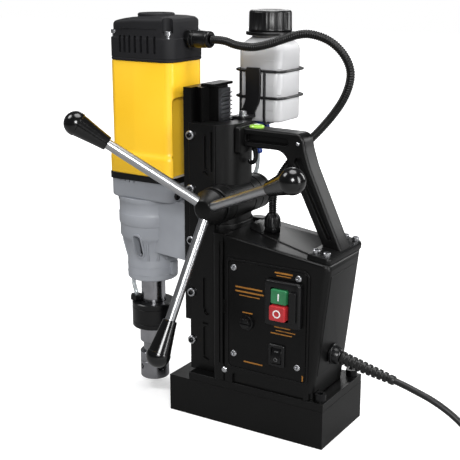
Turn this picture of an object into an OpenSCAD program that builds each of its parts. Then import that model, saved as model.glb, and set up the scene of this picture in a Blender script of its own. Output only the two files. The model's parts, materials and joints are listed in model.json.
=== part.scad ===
// Magnetic drill press: a motor and gearbox on a dovetail slide, a column on a magnet foot,
// and a three-spoke feed.
// Millimetres. +Z up, +X from the spindle towards the power cord, -Y towards the control panel.
// The origin is the middle of the magnet's working face.

/* [Magnet foot] */
// Length of the magnet along X
magnet_l = 200; // [190:1:210]
// Width of the magnet along Y
magnet_w = 100; // [96:1:104]
// Height of the magnet block
magnet_h = 44; // [42:1:46]
// Thickness of the frame's foot plate on the magnet
foot_h = 9; // [7:1:9]

/* [Column] */
// Height of the column's top above the work
column_top = 342; // [338:1:346]
// Half the column's width along Y
column_hw = 37; // [36:1:38]
// Radius of the column's rear corners
column_r = 30; // [24:1:30]

/* [Carriage] */
// How far the carriage rises from the drawn position
travel_up = 150; // [60:5:150]
// Length of the dovetail slide
slide_l = 270; // [240:5:280]
// Height of the slide's lower end in the drawn position
slide_z = 110; // [108:1:112]

/* [Spindle] */
// Radius of the arbor socket, for a 19.05 mm cutter shank
arbor_r = 9.54; // [9.53:0.01:9.6]
// Depth of the arbor socket
arbor_l = 47; // [40:1:50]
// Height of the spindle's mouth in the drawn position
spindle_z = 13; // [12.5:0.5:15]

/* [Feed] */
// Teeth on the feed pinion
pinion_teeth = 16; // [16:1:16]
// Module of the rack and the feed pinion
rack_module = 1.5; // [1.5:0.1:1.5]
// Distance from the hub's middle to the tip of a grip
spoke_reach = 181; // [160:1:190]
// Angle by which the spokes lean out from the wheel's plane
spoke_lean = 25; // [15:1:28]

/* [Bottle] */
// Width of the coolant bottle
bottle_w = 57; // [54:1:58]
// Height of the bottle's square body
bottle_h = 87; // [80:1:90]

/* [Hidden] */
$fn = 48;
eps = 0.01;

// Frame
foot_top = magnet_h + foot_h;
foot_x = -73;
bolt_xy = [[-33, -40], [92, -40], [-33, 40], [92, 40]];
column_front = -79;
slide_hw = 30;
column_rear = -28;
groove_x = -68;
channel_hy = 12;
gib_z = [88.5, 146.6, 208.4, 268, 328.8];

// Control box: its side outline, and the slopes of its roof and rear wall
box_hw = 50;
box_wall = 4;
roof_l = [-26, 224.7];
roof_r = [100, 209];
rear_low = [88, 73];
rear_top = [103.5, 203];
roof_tilt = atan2(roof_l[1] - roof_r[1], roof_r[0] - roof_l[0]);
rear_tilt = atan2(rear_top[0] - rear_low[0], rear_top[1] - rear_low[1]);
box_outline = [
  [-40, foot_top], [85, foot_top], rear_low, rear_top, [102.5, 207.5], roof_r, roof_l, [-40, 226]
];
panel_x = [-17.5, 78.5];
panel_z = [74.5, 197.5];
panel_t = 1.5;
panel_y = -box_hw - panel_t;
panel_screw_xz = [[-11, 190.5], [69, 190.5], [-11, 90], [69, 90]];
button_x = [40, 59];
green_z = [161, 177];
red_z = [143, 159.5];

// Handle
handle_hw = 12.5;
pocket_d = 7;
handle_foot_t = 6;
foot_bolts = [[94, -38], [82, -38], [94, 34], [82, 34]];

// Feed pinion
pinion_pos = [-39.5, 0, 255];
pinion_pr = rack_module * pinion_teeth / 2;
rack_x = pinion_pos[0] - pinion_pr;
rack_back = rack_x - 5;
housing_r = 21;
hub_origin_y = -58.5;
spoke_r = 5.7;
first_spoke = 22.8;

// Carriage
slide_front = -90;
slide_back = -79.4;
motor_x = [-194, -103];
motor_hw = 36;
motor_z = [275, 405];
cavity_x = [-188, -113];
pocket_x = -109;
cap_z = 457.5;
shoulder_x = [-189.5, -104.5];
crown_x = [-178, -116];
cap_corners = [[-184, -29], [-109.5, -30], [-184, 28], [-109.5, 28]];
gland_z = 430;
spindle_x = -158;
motor_axis_x = -146;
elbow_pos = [-176, -11];
web_bolts = [[-15.7, 195], [15.7, 195], [-15.7, 232], [15.7, 232]];
web_foot = 178.5;
window_x = -153.6;
window_r = 4.6;
window_z = [179.6, 197.4];
gear_module = 0.8;
pinion_n = 9;
lay_big_n = 33;
lay_small_n = 12;
spindle_n = 45;
lay_d1 = gear_module * (pinion_n + lay_big_n) / 2;
lay_d2 = gear_module * (lay_small_n + spindle_n) / 2;
axis_gap = motor_axis_x - spindle_x;
lay_dx = (lay_d2 * lay_d2 - lay_d1 * lay_d1 - axis_gap * axis_gap) / (2 * axis_gap);
lay_x = motor_axis_x + lay_dx;
lay_y = sqrt(lay_d1 * lay_d1 - lay_dx * lay_dx);

// Bottle, on the far side of the column
bottle_c = [-37, 70.5];
bottle_z = 336;
cage_wire = 1.8;

// Free runs: round points along each centreline
cord_r = 3.5;
gland_pos = [91, -14, 99];
relief_tilt = 12;
relief_l = 72;
cord_route = [
  [163, -14, 84], [176, -14, 81], [190, -14, 77], [206, -14, 72], [222, -14, 65],
  [238, -15, 56], [252, -17, 46], [266, -20, 35], [280, -24, 24], [294, -29, 15], [310, -35, 8],
  [328, -43, 5], [348, -51, 4], [368, -57, 4], [388, -59, 4], [400, -59, 4]
];
coil_pos = [400, -10];
coil_turns_r = [28, 35, 42, 49];
tail_route = [
  [449, -10, 11], [449, 2, 11], [448, 16, 10], [446, 30, 8], [443, 44, 5], [438, 58, 4],
  [431, 71, 5], [422, 83, 7], [412, 96, 9]
];
conduit_r = 4.7;
conduit_route = [
  [8, 0, 243], [8, 0, 256], [9, 2, 270], [13, 7, 284], [20, 13, 298], [30, 19, 312],
  [42, 23, 326], [55, 24, 340], [68, 23, 355], [80, 20, 371], [88, 17, 387], [91, 14, 402],
  [87, 11, 416], [77, 9, 428], [64, 7, 436], [48, 5, 440], [34, 4, 439], [18, 3, 434],
  [0, 2, 428], [-20, 1, 424], [-40, 0, 425.5], [-52, 0, 428.8],
  [-62, 0, 430], [-71.9, 0, 430]
];
tube_r = 2.5;
tube_route = [
  [-52, 70, 294], [-52, 70, 284], [-54, 71, 274], [-60, 72, 264], [-69, 72, 256],
  [-82, 71, 249], [-98, 70, 242], [-115, 68, 234], [-132, 66, 224], [-149, 62, 212],
  [-165, 56, 199], [-179, 46, 184], [-188, 33, 168], [-192, 20, 154], [-191, 8, 142], [-186.5, -2, 133],
  [-180, -8.5, 127], [-176, -11, 121.5], [-176, -11, 117.1]
];

// ---- Shapes that repeat ----

// Rectangle with four true arcs as corners
module round_rect(x0, x1, y0, y1, r) {
  translate([x0 + r, y0]) square([x1 - x0 - 2 * r, y1 - y0]);
  translate([x0, y0 + r]) square([x1 - x0, y1 - y0 - 2 * r]);
  for (x = [x0 + r, x1 - r], y = [y0 + r, y1 - r]) translate([x, y]) circle(r);
}

module round_block(x, y, z, r) {
  translate([0, 0, z[0]]) linear_extrude(z[1] - z[0]) round_rect(x[0], x[1], y[0], y[1], r);
}

module block(x, y, z) {
  translate([x[0], y[0], z[0]]) cube([x[1] - x[0], y[1] - y[0], z[1] - z[0]]);
}

// Extrudes an outline drawn in X and Z between two Y values
module across(y0, y1) {
  translate([0, y1, 0]) rotate([90, 0, 0]) linear_extrude(y1 - y0) children();
}

// Cylinder along Y between two Y values
module rod_y(x, z, y0, y1, r) {
  translate([x, y1, z]) rotate([90, 0, 0]) cylinder(h = y1 - y0, r = r);
}

// Cylinder along X between two X values
module rod_x(y, z, x0, x1, r) {
  translate([x0, y, z]) rotate([0, 90, 0]) cylinder(h = x1 - x0, r = r);
}

module rod_z(x, y, z0, z1, r) {
  translate([x, y, z0]) cylinder(h = z1 - z0, r = r);
}

// Socket-head screw with its head's top at the origin, pointing down
module socket_screw(head_r, head_h, shank_r, shank_l) {
  difference() {
    union() {
      translate([0, 0, -head_h]) cylinder(h = head_h, r = head_r);
      translate([0, 0, -head_h - shank_l]) cylinder(h = shank_l + eps, r = shank_r);
    }
    translate([0, 0, -head_h * 0.55]) cylinder(h = head_h, r = head_r * 0.55, $fn = 6);
  }
}

// Straight-flanked gear with thin teeth, one tooth on +X
module gear_2d(n, m) {
  pitch = 360 / n;
  root = m * n / 2 - 1.1 * m;
  tip = m * n / 2 + 0.7 * m;
  circle(root);
  for (i = [0:n - 1]) rotate(i * pitch)
    polygon([
      [root * 0.9, -root * sin(pitch * 0.26)], [root, -root * sin(pitch * 0.26)],
      [tip, -tip * sin(pitch * 0.09)], [tip, tip * sin(pitch * 0.09)],
      [root, root * sin(pitch * 0.26)], [root * 0.9, root * sin(pitch * 0.26)]
    ]);
}

// ---- Swept tubes for the free runs ----
function unit(v) = v / norm(v);
function tangent(p, i) = unit(p[min(i + 1, len(p) - 1)] - p[max(i - 1, 0)]);
function side_of(t) = abs(t[2]) < 0.9 ? unit(cross(t, [0, 0, 1])) : unit(cross(t, [0, 1, 0]));
// Carries the ring's first direction along the run, so that the tube doesn't twist
function carry(p, i) = i == 0 ? side_of(tangent(p, 0))
  : let (s = carry(p, i - 1), t = tangent(p, i)) unit(s - t * (s * t));
function ring_points(p, i, r, n) = let (t = tangent(p, i), u = carry(p, i), v = cross(t, u))
  [for (k = [0:n - 1]) p[i] + r * (cos(360 * k / n) * u + sin(360 * k / n) * v)];

module swept_tube(p, r, n = 8) {
  rings = len(p);
  points = [for (i = [0:rings - 1]) each ring_points(p, i, r, n)];
  walls = [for (i = [0:rings - 2], k = [0:n - 1]) let (a = i * n + k, b = i * n + (k + 1) % n)
    each [[a, a + n, b + n], [a, b + n, b]]];
  caps = [[for (k = [0:n - 1]) k], [for (k = [0:n - 1]) (rings - 1) * n + n - 1 - k]];
  polyhedron(points, concat(walls, caps), convexity = 6);
}

// ---- Magnet and foot ----

module coil_groove(grow) {
  round_rect(-84 - grow, 84 + grow, -38 - grow, 38 + grow, 10);
}

module magnet_block() color([0.13, 0.13, 0.14]) difference() {
  block([-magnet_l / 2, magnet_l / 2], [-magnet_w / 2, magnet_w / 2], [0, magnet_h]);
  translate([0, 0, -eps]) linear_extrude(34) difference() {
    coil_groove(0);
    round_rect(-64, 64, -20, 20, 6);
  }
  for (p = bolt_xy) rod_z(p[0], p[1], 36, magnet_h + eps, 3);
}

module magnet_coil() color([0.55, 0.3, 0.12]) translate([0, 0, 0.5]) linear_extrude(33) difference() {
  coil_groove(-0.1);
  round_rect(-64.1, 64.1, -20.1, 20.1, 6);
}

module foot_plate() color([0.12, 0.12, 0.13]) difference() {
  block([foot_x, magnet_l / 2], [-magnet_w / 2, magnet_w / 2], [magnet_h, foot_top]);
  for (p = bolt_xy) rod_z(p[0], p[1], magnet_h - eps, foot_top + eps, 4.2);
}

module magnet_bolts() color([0.1, 0.1, 0.1])
  for (p = bolt_xy) translate([p[0], p[1], foot_top + 8]) socket_screw(6.5, 8, 2.9, foot_h + 8);

// ---- Column ----

module column_outline() {
  difference() {
    round_rect(column_front - 40, column_rear, -column_hw, column_hw, column_r);
    translate([column_front - 60, -60]) square([60, 120]);
  }
}

// Dovetail: narrow at the mouth, wide at the back
module dovetail(front, back, hw_front, hw_back) {
  polygon([[front, -hw_front], [back, -hw_back], [back, hw_back], [front, hw_front]]);
}

module pinion_bore() {
  rod_y(pinion_pos[0], pinion_pos[2], -60, 60, housing_r);
}

module channel() {
  block([groove_x - 1, rack_x + 5], [-channel_hy, channel_hy], [foot_top + 6, column_top + 1]);
}

module column() color([0.11, 0.11, 0.12]) difference() {
  translate([0, 0, foot_top]) linear_extrude(column_top - foot_top) column_outline();
  translate([0, 0, foot_top + 6]) linear_extrude(column_top) dovetail(column_front - eps, groove_x, 22.6, 29);
  channel();
  pinion_bore();
  for (z = gib_z) rod_y(-76, z, -60, -20, 2.55);
  for (s = [-1, 1]) rod_z(-44, s * 22, column_top - 14, column_top + 1, 2.5);
}

module gib_strip() color([0.75, 0.6, 0.3])
  translate([0, 0, foot_top + 8]) linear_extrude(column_top - foot_top - 10)
    polygon([[-78.9, -22.2], [-68.4, -28.3], [-68.4, -26.2], [-78.9, -20.1]]);

module gib_screws() color([0.7, 0.7, 0.72]) for (z = gib_z) {
  difference() {
    rod_y(-76, z, -43, -25.7, 2.5);
    translate([-76, -41, z]) rotate([90, 0, 0]) cylinder(h = 3, r = 1.5, $fn = 6);
  }
  translate([-76, -column_hw, z]) rotate([90, 0, 0]) difference() {
    cylinder(h = 4, r = 4.9, $fn = 6);
    translate([0, 0, -1]) cylinder(h = 6, r = 2.52);
  }
}

module pinion_housing() color([0.16, 0.16, 0.17]) difference() {
  union() {
    rod_y(pinion_pos[0], pinion_pos[2], -49.5, 49, housing_r);
    rod_y(pinion_pos[0], pinion_pos[2], 49, 53, 17);
  }
  rod_y(pinion_pos[0], pinion_pos[2], -50, 50, 12);
  rod_y(pinion_pos[0], pinion_pos[2], -channel_hy, channel_hy, 15.5);
  channel();
  for (y = [10, 26, 40]) translate([pinion_pos[0], y, pinion_pos[2]]) rotate([90, 0, 0])
    rotate_extrude() translate([housing_r - 0.8, 0]) square([2, 1.6]);
}

module pinion_bushes() color([0.72, 0.5, 0.25])
  for (y = [[-48, -channel_hy], [channel_hy, 46]]) difference() {
    rod_y(pinion_pos[0], pinion_pos[2], y[0], y[1], 12);
    rod_y(pinion_pos[0], pinion_pos[2], y[0] - 1, y[1] + 1, 8.05);
  }

// ---- Control box ----

module box_inside() {
  polygon([
    [column_rear + 3, foot_top + 3], [81, foot_top + 3], [rear_low[0] - 4, rear_low[1]],
    [rear_top[0] - 4.5, rear_top[1]], [roof_r[0] - 5, roof_r[1] - 4], [column_rear + 3, roof_l[1] - 4]
  ]);
}

module control_box() color([0.1, 0.1, 0.11]) difference() {
  across(-box_hw, box_hw - 4) polygon(box_outline);
  across(-box_hw + box_wall, box_hw - 4 - box_wall) box_inside();
  translate([0, 0, foot_top - 1]) linear_extrude(200) column_outline();
  block([-60, column_rear + 2.5], [-70, 70], [foot_top - 1, 240]);
  across(-box_hw - 1, -box_hw + box_wall + 1) translate([-10, 82]) square([80, 108]);
  for (p = bolt_xy) {
    rod_z(p[0], p[1], foot_top - 1, foot_top + 9, 9.5);
    block([p[0] - 9.5, p[0] + 9.5], p[1] < 0 ? [-70, p[1]] : [p[1], 70], [foot_top - 1, foot_top + 9]);
  }
  rod_z(8, 0, 200, 240, 6);
  rod_x(gland_pos[1], gland_pos[2], 70, 120, 7);
  for (p = foot_bolts) rod_z(p[0], p[1], 195, 225, 3.05);
  block([-14, 76], [-60, -box_hw + 2], [foot_top - 1, foot_top + 13]);
  for (p = panel_screw_xz) rod_y(p[0], p[1], -60, -box_hw + box_wall + 1, 1.7);
}

module rear_cover() color([0.2, 0.2, 0.21]) difference() {
  translate([rear_low[0], 0, rear_low[1]]) rotate([0, rear_tilt, 0])
    round_block([0, 3], [-44, 42], [8, 124], 1.4);
  rod_x(gland_pos[1], gland_pos[2], 70, 120, 12);
}

module panel_plate() color([0.05, 0.05, 0.05]) difference() {
  across(panel_y, -box_hw) round_rect(panel_x[0], panel_x[1], panel_z[0], panel_z[1], 4);
  for (p = panel_screw_xz) rod_y(p[0], p[1], -60, -40, 1.7);
  across(-60, -40) translate([34, 138]) square([36, 44]);
  across(-60, -40) translate([36.5, 88.5]) square([15, 21]);
  rod_y(6.5, 130, -60, -40, 6.1);
}

module panel_screws() color([0.75, 0.75, 0.77])
  for (p = panel_screw_xz) translate([p[0], panel_y - 2.4, p[1]]) rotate([90, 0, 0]) difference() {
    union() {
      translate([0, 0, -2.4]) cylinder(h = 2.4, r = 3.4);
      translate([0, 0, -10]) cylinder(h = 8, r = 1.6);
    }
    for (a = [0, 90]) rotate(a) translate([-2, -0.4, -1]) cube([4, 0.8, 2]);
  }

module switch_block() color([0.06, 0.06, 0.06]) difference() {
  union() {
    across(-59, -22) translate([34.2, 138.2]) square([35.6, 43.6]);
    across(-57, panel_y) round_rect(31, 73, 135, 185, 3);
  }
  for (z = [green_z, red_z]) {
    across(-60, -50) translate([button_x[0] - 0.4, z[0] - 0.4]) square([19.8, z[1] - z[0] + 0.8]);
    rod_y(49.5, (z[0] + z[1]) / 2, -51, -40, 3.4);
  }
}

module button(z, face_y) {
  across(face_y, -53.5) round_rect(button_x[0], button_x[1], z[0], z[1], 1.5);
  rod_y(49.5, (z[0] + z[1]) / 2, -53.6, -44, 3);
}

module green_button() color([0.1, 0.55, 0.25]) button(green_z, -60.5);
module red_button() color([0.8, 0.1, 0.1]) button(red_z, -64);

module rocker_frame() color([0.07, 0.07, 0.07]) difference() {
  union() {
    across(-53.6, panel_y) round_rect(34.5, 53.5, 86.5, 111.5, 1.5);
    across(panel_y, -30) translate([36.7, 88.7]) square([14.6, 20.6]);
  }
  across(-54, -40) translate([37.5, 89.7]) square([13, 18.6]);
}

module rocker() color([0.09, 0.09, 0.09]) difference() {
  union() {
    across(-55.4, -49.8) translate([38, 90.8]) square([12, 16.4]);
    translate([38, -49.8, 99]) rotate([0, 90, 0]) cylinder(h = 12, r = 3);
  }
  translate([37, -56.5, 99]) rotate([-8, 0, 0]) translate([0, -3, 0]) cube([14, 4, 20]);
}

module fuse_holder() color([0.08, 0.08, 0.08]) difference() {
  union() {
    rod_y(6.5, 130, panel_y - 3, panel_y, 8.5);
    rod_y(6.5, 130, panel_y, -24, 6);
  }
  rod_y(6.5, 130, -60, -30, 4.2);
}

module fuse_cap() color([0.1, 0.1, 0.1]) {
  rod_y(6.5, 130, panel_y - 9, panel_y - 3.2, 6.5);
  rod_y(6.5, 130, panel_y - 3.3, -38, 4);
}

module circuit_board() {
  color([0.1, 0.35, 0.15]) block([0, 70], [4, 5.6], [80, 185]);
  color([0.1, 0.35, 0.15]) for (x = [5, 58]) block([x, x + 6], [2, 8], [foot_top + 3, 81]);
  color([0.15, 0.15, 0.15]) for (p = [[14, 110], [40, 120], [55, 160]])
    block([p[0], p[0] + 12], [-10, 4], [p[1], p[1] + 16]);
  color([0.2, 0.2, 0.2]) block([20, 50], [5.6, 30], [90, 130]);
}

// ---- Handle and level ----
function arc(c, r, a0, a1, n) =
  [for (i = [0:n]) let (a = a0 + (a1 - a0) * i / n) c + r * [cos(a), sin(a)]];

// Loop outline in X and Z: a level bar, a round corner and a slanting strut
handle_outer = concat(
  [[column_rear, 338], [40, 336.6]], arc([41, 318.6], 18, 88, 24, 6), [[103.5, 212], [103, 208]]
);
handle_inner = concat([[77.5, 212], [79, 215.5]], arc([16.5, 300.5], 16, 26, 90, 6), [[column_rear, 317]]);
pocket_bar = [[-21, 332], [35, 331], [36, 321.5], [-21, 322.3]];
pocket_strut = [[52, 319], [56, 317], [95, 222], [83, 222.5], [40, 308]];

module handle() color([0.1, 0.1, 0.11]) difference() {
  union() {
    across(-handle_hw, handle_hw) polygon(concat(handle_outer, handle_inner));
    round_block([column_rear, column_rear + 5], [-20, 20], [310, 340], 2.4);
    translate([roof_r[0], 0, roof_r[1]]) rotate([0, roof_tilt, 0])
      round_block([-25, 1], [-46, 42], [-eps, handle_foot_t], 4);
  }
  for (s = [-1, 1]) {
    across(s < 0 ? -20 : handle_hw - pocket_d, s < 0 ? -handle_hw + pocket_d : 20) polygon(pocket_bar);
    across(s < 0 ? -20 : handle_hw - pocket_d, s < 0 ? -handle_hw + pocket_d : 20) polygon(pocket_strut);
  }
  across(-box_hw, box_hw) polygon(box_outline);
  translate([0, 0, 300]) linear_extrude(60) column_outline();
  for (p = foot_bolts) rod_z(p[0], p[1], 200, 225, 3.2);
  rod_z(-13, 0, 334, 345, 8.6);
}

module handle_bolts() color([0.6, 0.6, 0.62]) {
  for (p = foot_bolts) translate([p[0], p[1], 222.7 - 0.125 * (p[0] - 82)])
    socket_screw(4.6, 4.5, 3, 12);
}

module spirit_level() {
  color([0.15, 0.15, 0.15]) difference() {
    rod_z(-13, 0, 334, 340, 8.5);
    rod_z(-13, 0, 335, 341, 7.2);
  }
  color([0.7, 0.9, 0.2]) rod_z(-13, 0, 335, 340.5, 7.2);
}

// ---- Bottle, bracket, cage and valve ----

module bottle_bracket() color([0.2, 0.2, 0.2]) difference() {
  union() {
    block([-56, -38], [14, 40], [column_top, column_top + 3]);
    across(37, 40) polygon([
      [-56, column_top], [-38, column_top], [-31, 360], [-31, 398], [-50, 398], [-50, 360]
    ]);
  }
  rod_z(-44, 22, column_top - 1, column_top + 4, 2.8);
}

// Square loop of wire round the bottle, with true bends
module wire_loop(x0, x1, y0, y1, z, r) {
  for (y = [y0, y1]) rod_x(y, z, x0 + r, x1 - r, cage_wire);
  for (x = [x0, x1]) rod_y(x, z, y0 + r, y1 - r, cage_wire);
  for (c = [[x1 - r, y1 - r, 0], [x0 + r, y1 - r, 90], [x0 + r, y0 + r, 180], [x1 - r, y0 + r, 270]])
    translate([c[0], c[1], z]) rotate(c[2]) rotate_extrude(angle = 90) translate([r, 0])
      circle(cage_wire, $fn = 24);
}

module bottle_cage() color([0.08, 0.08, 0.08]) {
  x0 = bottle_c[0] - bottle_w / 2 - 2.6;
  x1 = bottle_c[0] + bottle_w / 2 + 2.6;
  y0 = 42;
  y1 = 99.6;
  for (z = [364, 394]) wire_loop(x0, x1, y0, y1, z, 10);
  for (x = [-59.3, -28]) {
    rod_z(x, y0, 334, 394, cage_wire);
    rod_z(x, y1, 334, 394, cage_wire);
    rod_y(x, 334, y0, y1, cage_wire);
    for (y = [y0, y1]) translate([x, y, 334]) sphere(cage_wire, $fn = 24);
  }
}

module bottle_shape(inset) {
  x = [bottle_c[0] - bottle_w / 2 + inset, bottle_c[0] + bottle_w / 2 - inset];
  y = [44 + inset, 97.6 - inset];
  top = bottle_z + bottle_h;
  round_block(x, y, [bottle_z + inset, top + eps], 10 - inset);
  hull() {
    round_block(x, y, [top, top + 0.5], 10 - inset, $fn = 24);
    rod_z(bottle_c[0], bottle_c[1], top + 8, top + 9 - inset, 24 - inset, $fn = 32);
  }
}

module bottle() color([0.93, 0.93, 0.93, 0.6]) difference() {
  union() {
    bottle_shape(0);
    rod_z(bottle_c[0], bottle_c[1], 428, 452, 21.5);
    rod_z(bottle_c[0], bottle_c[1], 433, 436.5, 28);
  }
  bottle_shape(1.5);
  rod_z(bottle_c[0], bottle_c[1], 425, 453, 19.5);
  rod_z(-52, 70, 330, 340, 5);
}

module bottle_cap() color([0.05, 0.05, 0.05]) difference() {
  rod_z(bottle_c[0], bottle_c[1], 437, 460.5, 25);
  rod_z(bottle_c[0], bottle_c[1], 436, 457, 21.8);
}

module coolant_valve() {
  color([0.1, 0.2, 0.5]) difference() {
    union() {
      rod_z(-52, 70, 324, 342, 4.9);
      rod_z(-52, 70, 320, 331.8, 9);
      round_block([-60, -44], [62, 78], [304, 320], 3);
      rod_z(-52, 70, 294, 304, 5.5);
    }
    rod_x(70, 312, -45, -40, 3.05);
  }
}

module valve_lever() color([0.1, 0.25, 0.6]) {
  rod_x(70, 312, -44.9, -38, 3);
  round_block([-42, -38], [65, 75], [307, 330.8], 1.9);
}

module coolant_tube() color([0.85, 0.9, 0.95, 0.5]) swept_tube(tube_route, tube_r);

// ---- Glands, conduit and power cord ----

module box_gland() color([0.07, 0.07, 0.07]) difference() {
  union() {
    rod_z(8, 0, 205, 222, 5.9);
    rod_z(8, 0, 221.8, 228, 10, $fn = 6);
    rod_z(8, 0, 228, 243, 8.5);
  }
  rod_z(8, 0, 204, 244, conduit_r - 1.5);
}

module conduit() color([0.05, 0.05, 0.05]) swept_tube(conduit_route, conduit_r);

module motor_gland() color([0.06, 0.06, 0.06]) difference() {
  union() {
    rod_x(0, gland_z, -110, -102.3, 6.9);
    rod_x(0, gland_z, -102.4, -96, 11, $fn = 6);
    rod_x(0, gland_z, -96, -72, 8.5);
  }
  rod_x(0, gland_z, -111, -71, conduit_r - 1.5);
}

module cord_gland() color([0.06, 0.06, 0.06]) difference() {
  union() {
    rod_x(gland_pos[1], gland_pos[2], 82, 93, 6.9);
    rod_x(gland_pos[1], gland_pos[2], 92.6, 96, 11.5);
    translate([96, gland_pos[1], gland_pos[2] - 1]) rotate([0, 90 + relief_tilt, 0])
      translate([0, 0, -3]) cylinder(h = 10, r1 = 10.5, r2 = 8.5);
  }
  rod_x(gland_pos[1], gland_pos[2], 80, 90, cord_r);
}

module strain_relief() color([0.05, 0.05, 0.05])
  translate([96, gland_pos[1], gland_pos[2] - 1]) rotate([0, 90 + relief_tilt, 0]) difference() {
    translate([0, 0, 7]) cylinder(h = relief_l - 7, r1 = 7.5, r2 = 5.2);
    translate([0, 0, relief_l - 5]) cylinder(h = 6, r = cord_r);
  }

module power_cord() color([0.05, 0.05, 0.05]) swept_tube(cord_route, cord_r);
module cord_tail() color([0.05, 0.05, 0.05]) swept_tube(tail_route, cord_r);

module cord_coil() color([0.05, 0.05, 0.05]) translate([coil_pos[0], coil_pos[1], 0]) rotate_extrude()
  translate([coil_turns_r[0] - cord_r, 0.4]) square([coil_turns_r[3] - coil_turns_r[0] + 2 * cord_r, 14.2]);

module plug() translate([411, 97, 0]) rotate([0, 0, 127]) {
  color([0.06, 0.06, 0.06]) {
    translate([0, 0, 9]) rotate([0, 90, 0]) cylinder(h = 16, r1 = 5, r2 = 7);
    round_block([15, 45], [-14, 14], [0.3, 17.7], 5);
  }
  color([0.75, 0.75, 0.75]) for (y = [-9.5, 0, 9.5])
    translate([44.9, y, 9]) rotate([0, 90, 0]) cylinder(h = 19, r = 2.4);
}

// ---- Carriage ----

module slide() color([0.12, 0.12, 0.13]) difference() {
  union() {
    slide_body();
    block([-77, -60], [-14, 26], [slide_z + slide_l - eps, slide_z + slide_l + 3]);
  }
  for (p = web_bolts) {
    rod_x(p[0], p[1], slide_front - 1, groove_x + 1, 3.1);
    rod_x(p[0], p[1], groove_x - 7.6, groove_x + 1, 5.6);
  }
}

// Plate, dovetail tongue and the rib that carries the rack
module slide_body() {
  translate([0, 0, slide_z]) linear_extrude(slide_l) {
    translate([slide_front, -slide_hw]) square([slide_back - slide_front, 2 * slide_hw]);
    translate([groove_x - 0.51, -10]) square([rack_back - groove_x + 0.51, 20]);
    polygon([
      [slide_back - eps, -19.5], [groove_x - 0.5, -25.85], [groove_x - 0.5, 28.4], [slide_back - eps, 22]
    ]);
  }
}

tooth_pitch = PI * rack_module;
rack_teeth = floor((slide_l - 10) / tooth_pitch);

module rack() color([0.5, 0.5, 0.52]) across(-10, 10) {
  root = rack_x - 1.1 * rack_module;
  tip = rack_x + 0.7 * rack_module;
  first = ceil((slide_z + 5 - pinion_pos[2]) / tooth_pitch);
  translate([rack_back, slide_z + 2]) square([root - rack_back, slide_l - 4]);
  for (i = [0:rack_teeth - 1]) translate([0, pinion_pos[2] + (first + i) * tooth_pitch])
    polygon([
      [root - 0.5, -tooth_pitch * 0.28], [root, -tooth_pitch * 0.28], [tip, -tooth_pitch * 0.1],
      [tip, tooth_pitch * 0.1], [root, tooth_pitch * 0.28], [root - 0.5, tooth_pitch * 0.28]
    ]);
}

module gearbox_housing() color([0.5, 0.51, 0.53]) difference() {
  union() {
    round_block(motor_x, [-motor_hw, motor_hw], [245.5, 275], 10);
    rod_z(spindle_x, 0, 240, 247.5, 39.5);
    rod_z(spindle_x, 0, 226, 240.5, 38.6);
    rod_z(spindle_x, 0, 212, 226.5, 39.2);
    rod_z(spindle_x, 0, 197, 212.5, 38);
    translate([spindle_x, 0, 167]) cylinder(h = 30.5, r1 = 29.2, r2 = 38);
    rod_z(spindle_x, 0, 144, 168, 30.2);
    across(-26, 26) polygon([[-150, 247.5], [slide_front, 247.5], [slide_front, web_foot], [-136, 182]]);
  }
  round_block([motor_x[0] + 4, motor_x[1] - 4], [-motor_hw + 4, motor_hw - 4], [249, 276], 7);
  rod_z(spindle_x, 0, 162, 233.9, 24);
  rod_z(spindle_x, 0, 147, 163, 23.9);
  rod_z(spindle_x, 0, 143, 148, 15.6);
  rod_z(spindle_x, 0, 233.8, 250, 18.9);
  rod_z(lay_x, lay_y, 243, 250, 4.05);
  for (z = window_z) rod_y(window_x, z, -60, 0, window_r);
  block([window_x - window_r, window_x + window_r], [-60, 0], window_z);
  for (p = web_bolts) rod_x(p[0], p[1], -103, slide_front + 1, 3);
}

module carriage_bolts() color([0.2, 0.2, 0.2]) for (p = web_bolts)
  translate([groove_x - 1, p[0], p[1]]) rotate([0, 90, 0]) socket_screw(5.4, 6, 2.95, 27);

module air_louvre() color([0.05, 0.05, 0.05]) difference() {
  round_block([motor_x[0] - 0.8, motor_x[1] + 0.8], [-motor_hw - 0.8, motor_hw + 0.8], [268, 275], 10.8);
  round_block([motor_x[0], motor_x[1]], [-motor_hw, motor_hw], [267, 276], 10);
}

module motor_housing() color([0.98, 0.72, 0.1]) difference() {
  union() {
    round_block([motor_x[0] + 2, motor_x[1] - 1], [-motor_hw + 2, motor_hw - 2], [288, motor_z[1]], 14);
    round_block([motor_x[0] - 1, motor_x[1] + 1], [-motor_hw - 1, motor_hw + 1], [275, 289], 11);
  }
  round_block(cavity_x, [-motor_hw + 6, motor_hw - 6], [286, motor_z[1] + 1], 10);
  block([pocket_x, pocket_x + 20], [-30, 30], [299, 366]);
  rod_z(motor_axis_x, 0, 274, 287, 9.5);
  rod_z(lay_x, lay_y, 274, 282, 4.05);
}

// Seven slots, which spread as the wall bows towards the slide
module cap_slots(y0, y1)
  for (i = [0:6]) translate([-173 + 6.3 * i + 0.3 * i * i, 0]) block([-1.6, 1.6], [y0, y1], [414, 431]);

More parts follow.
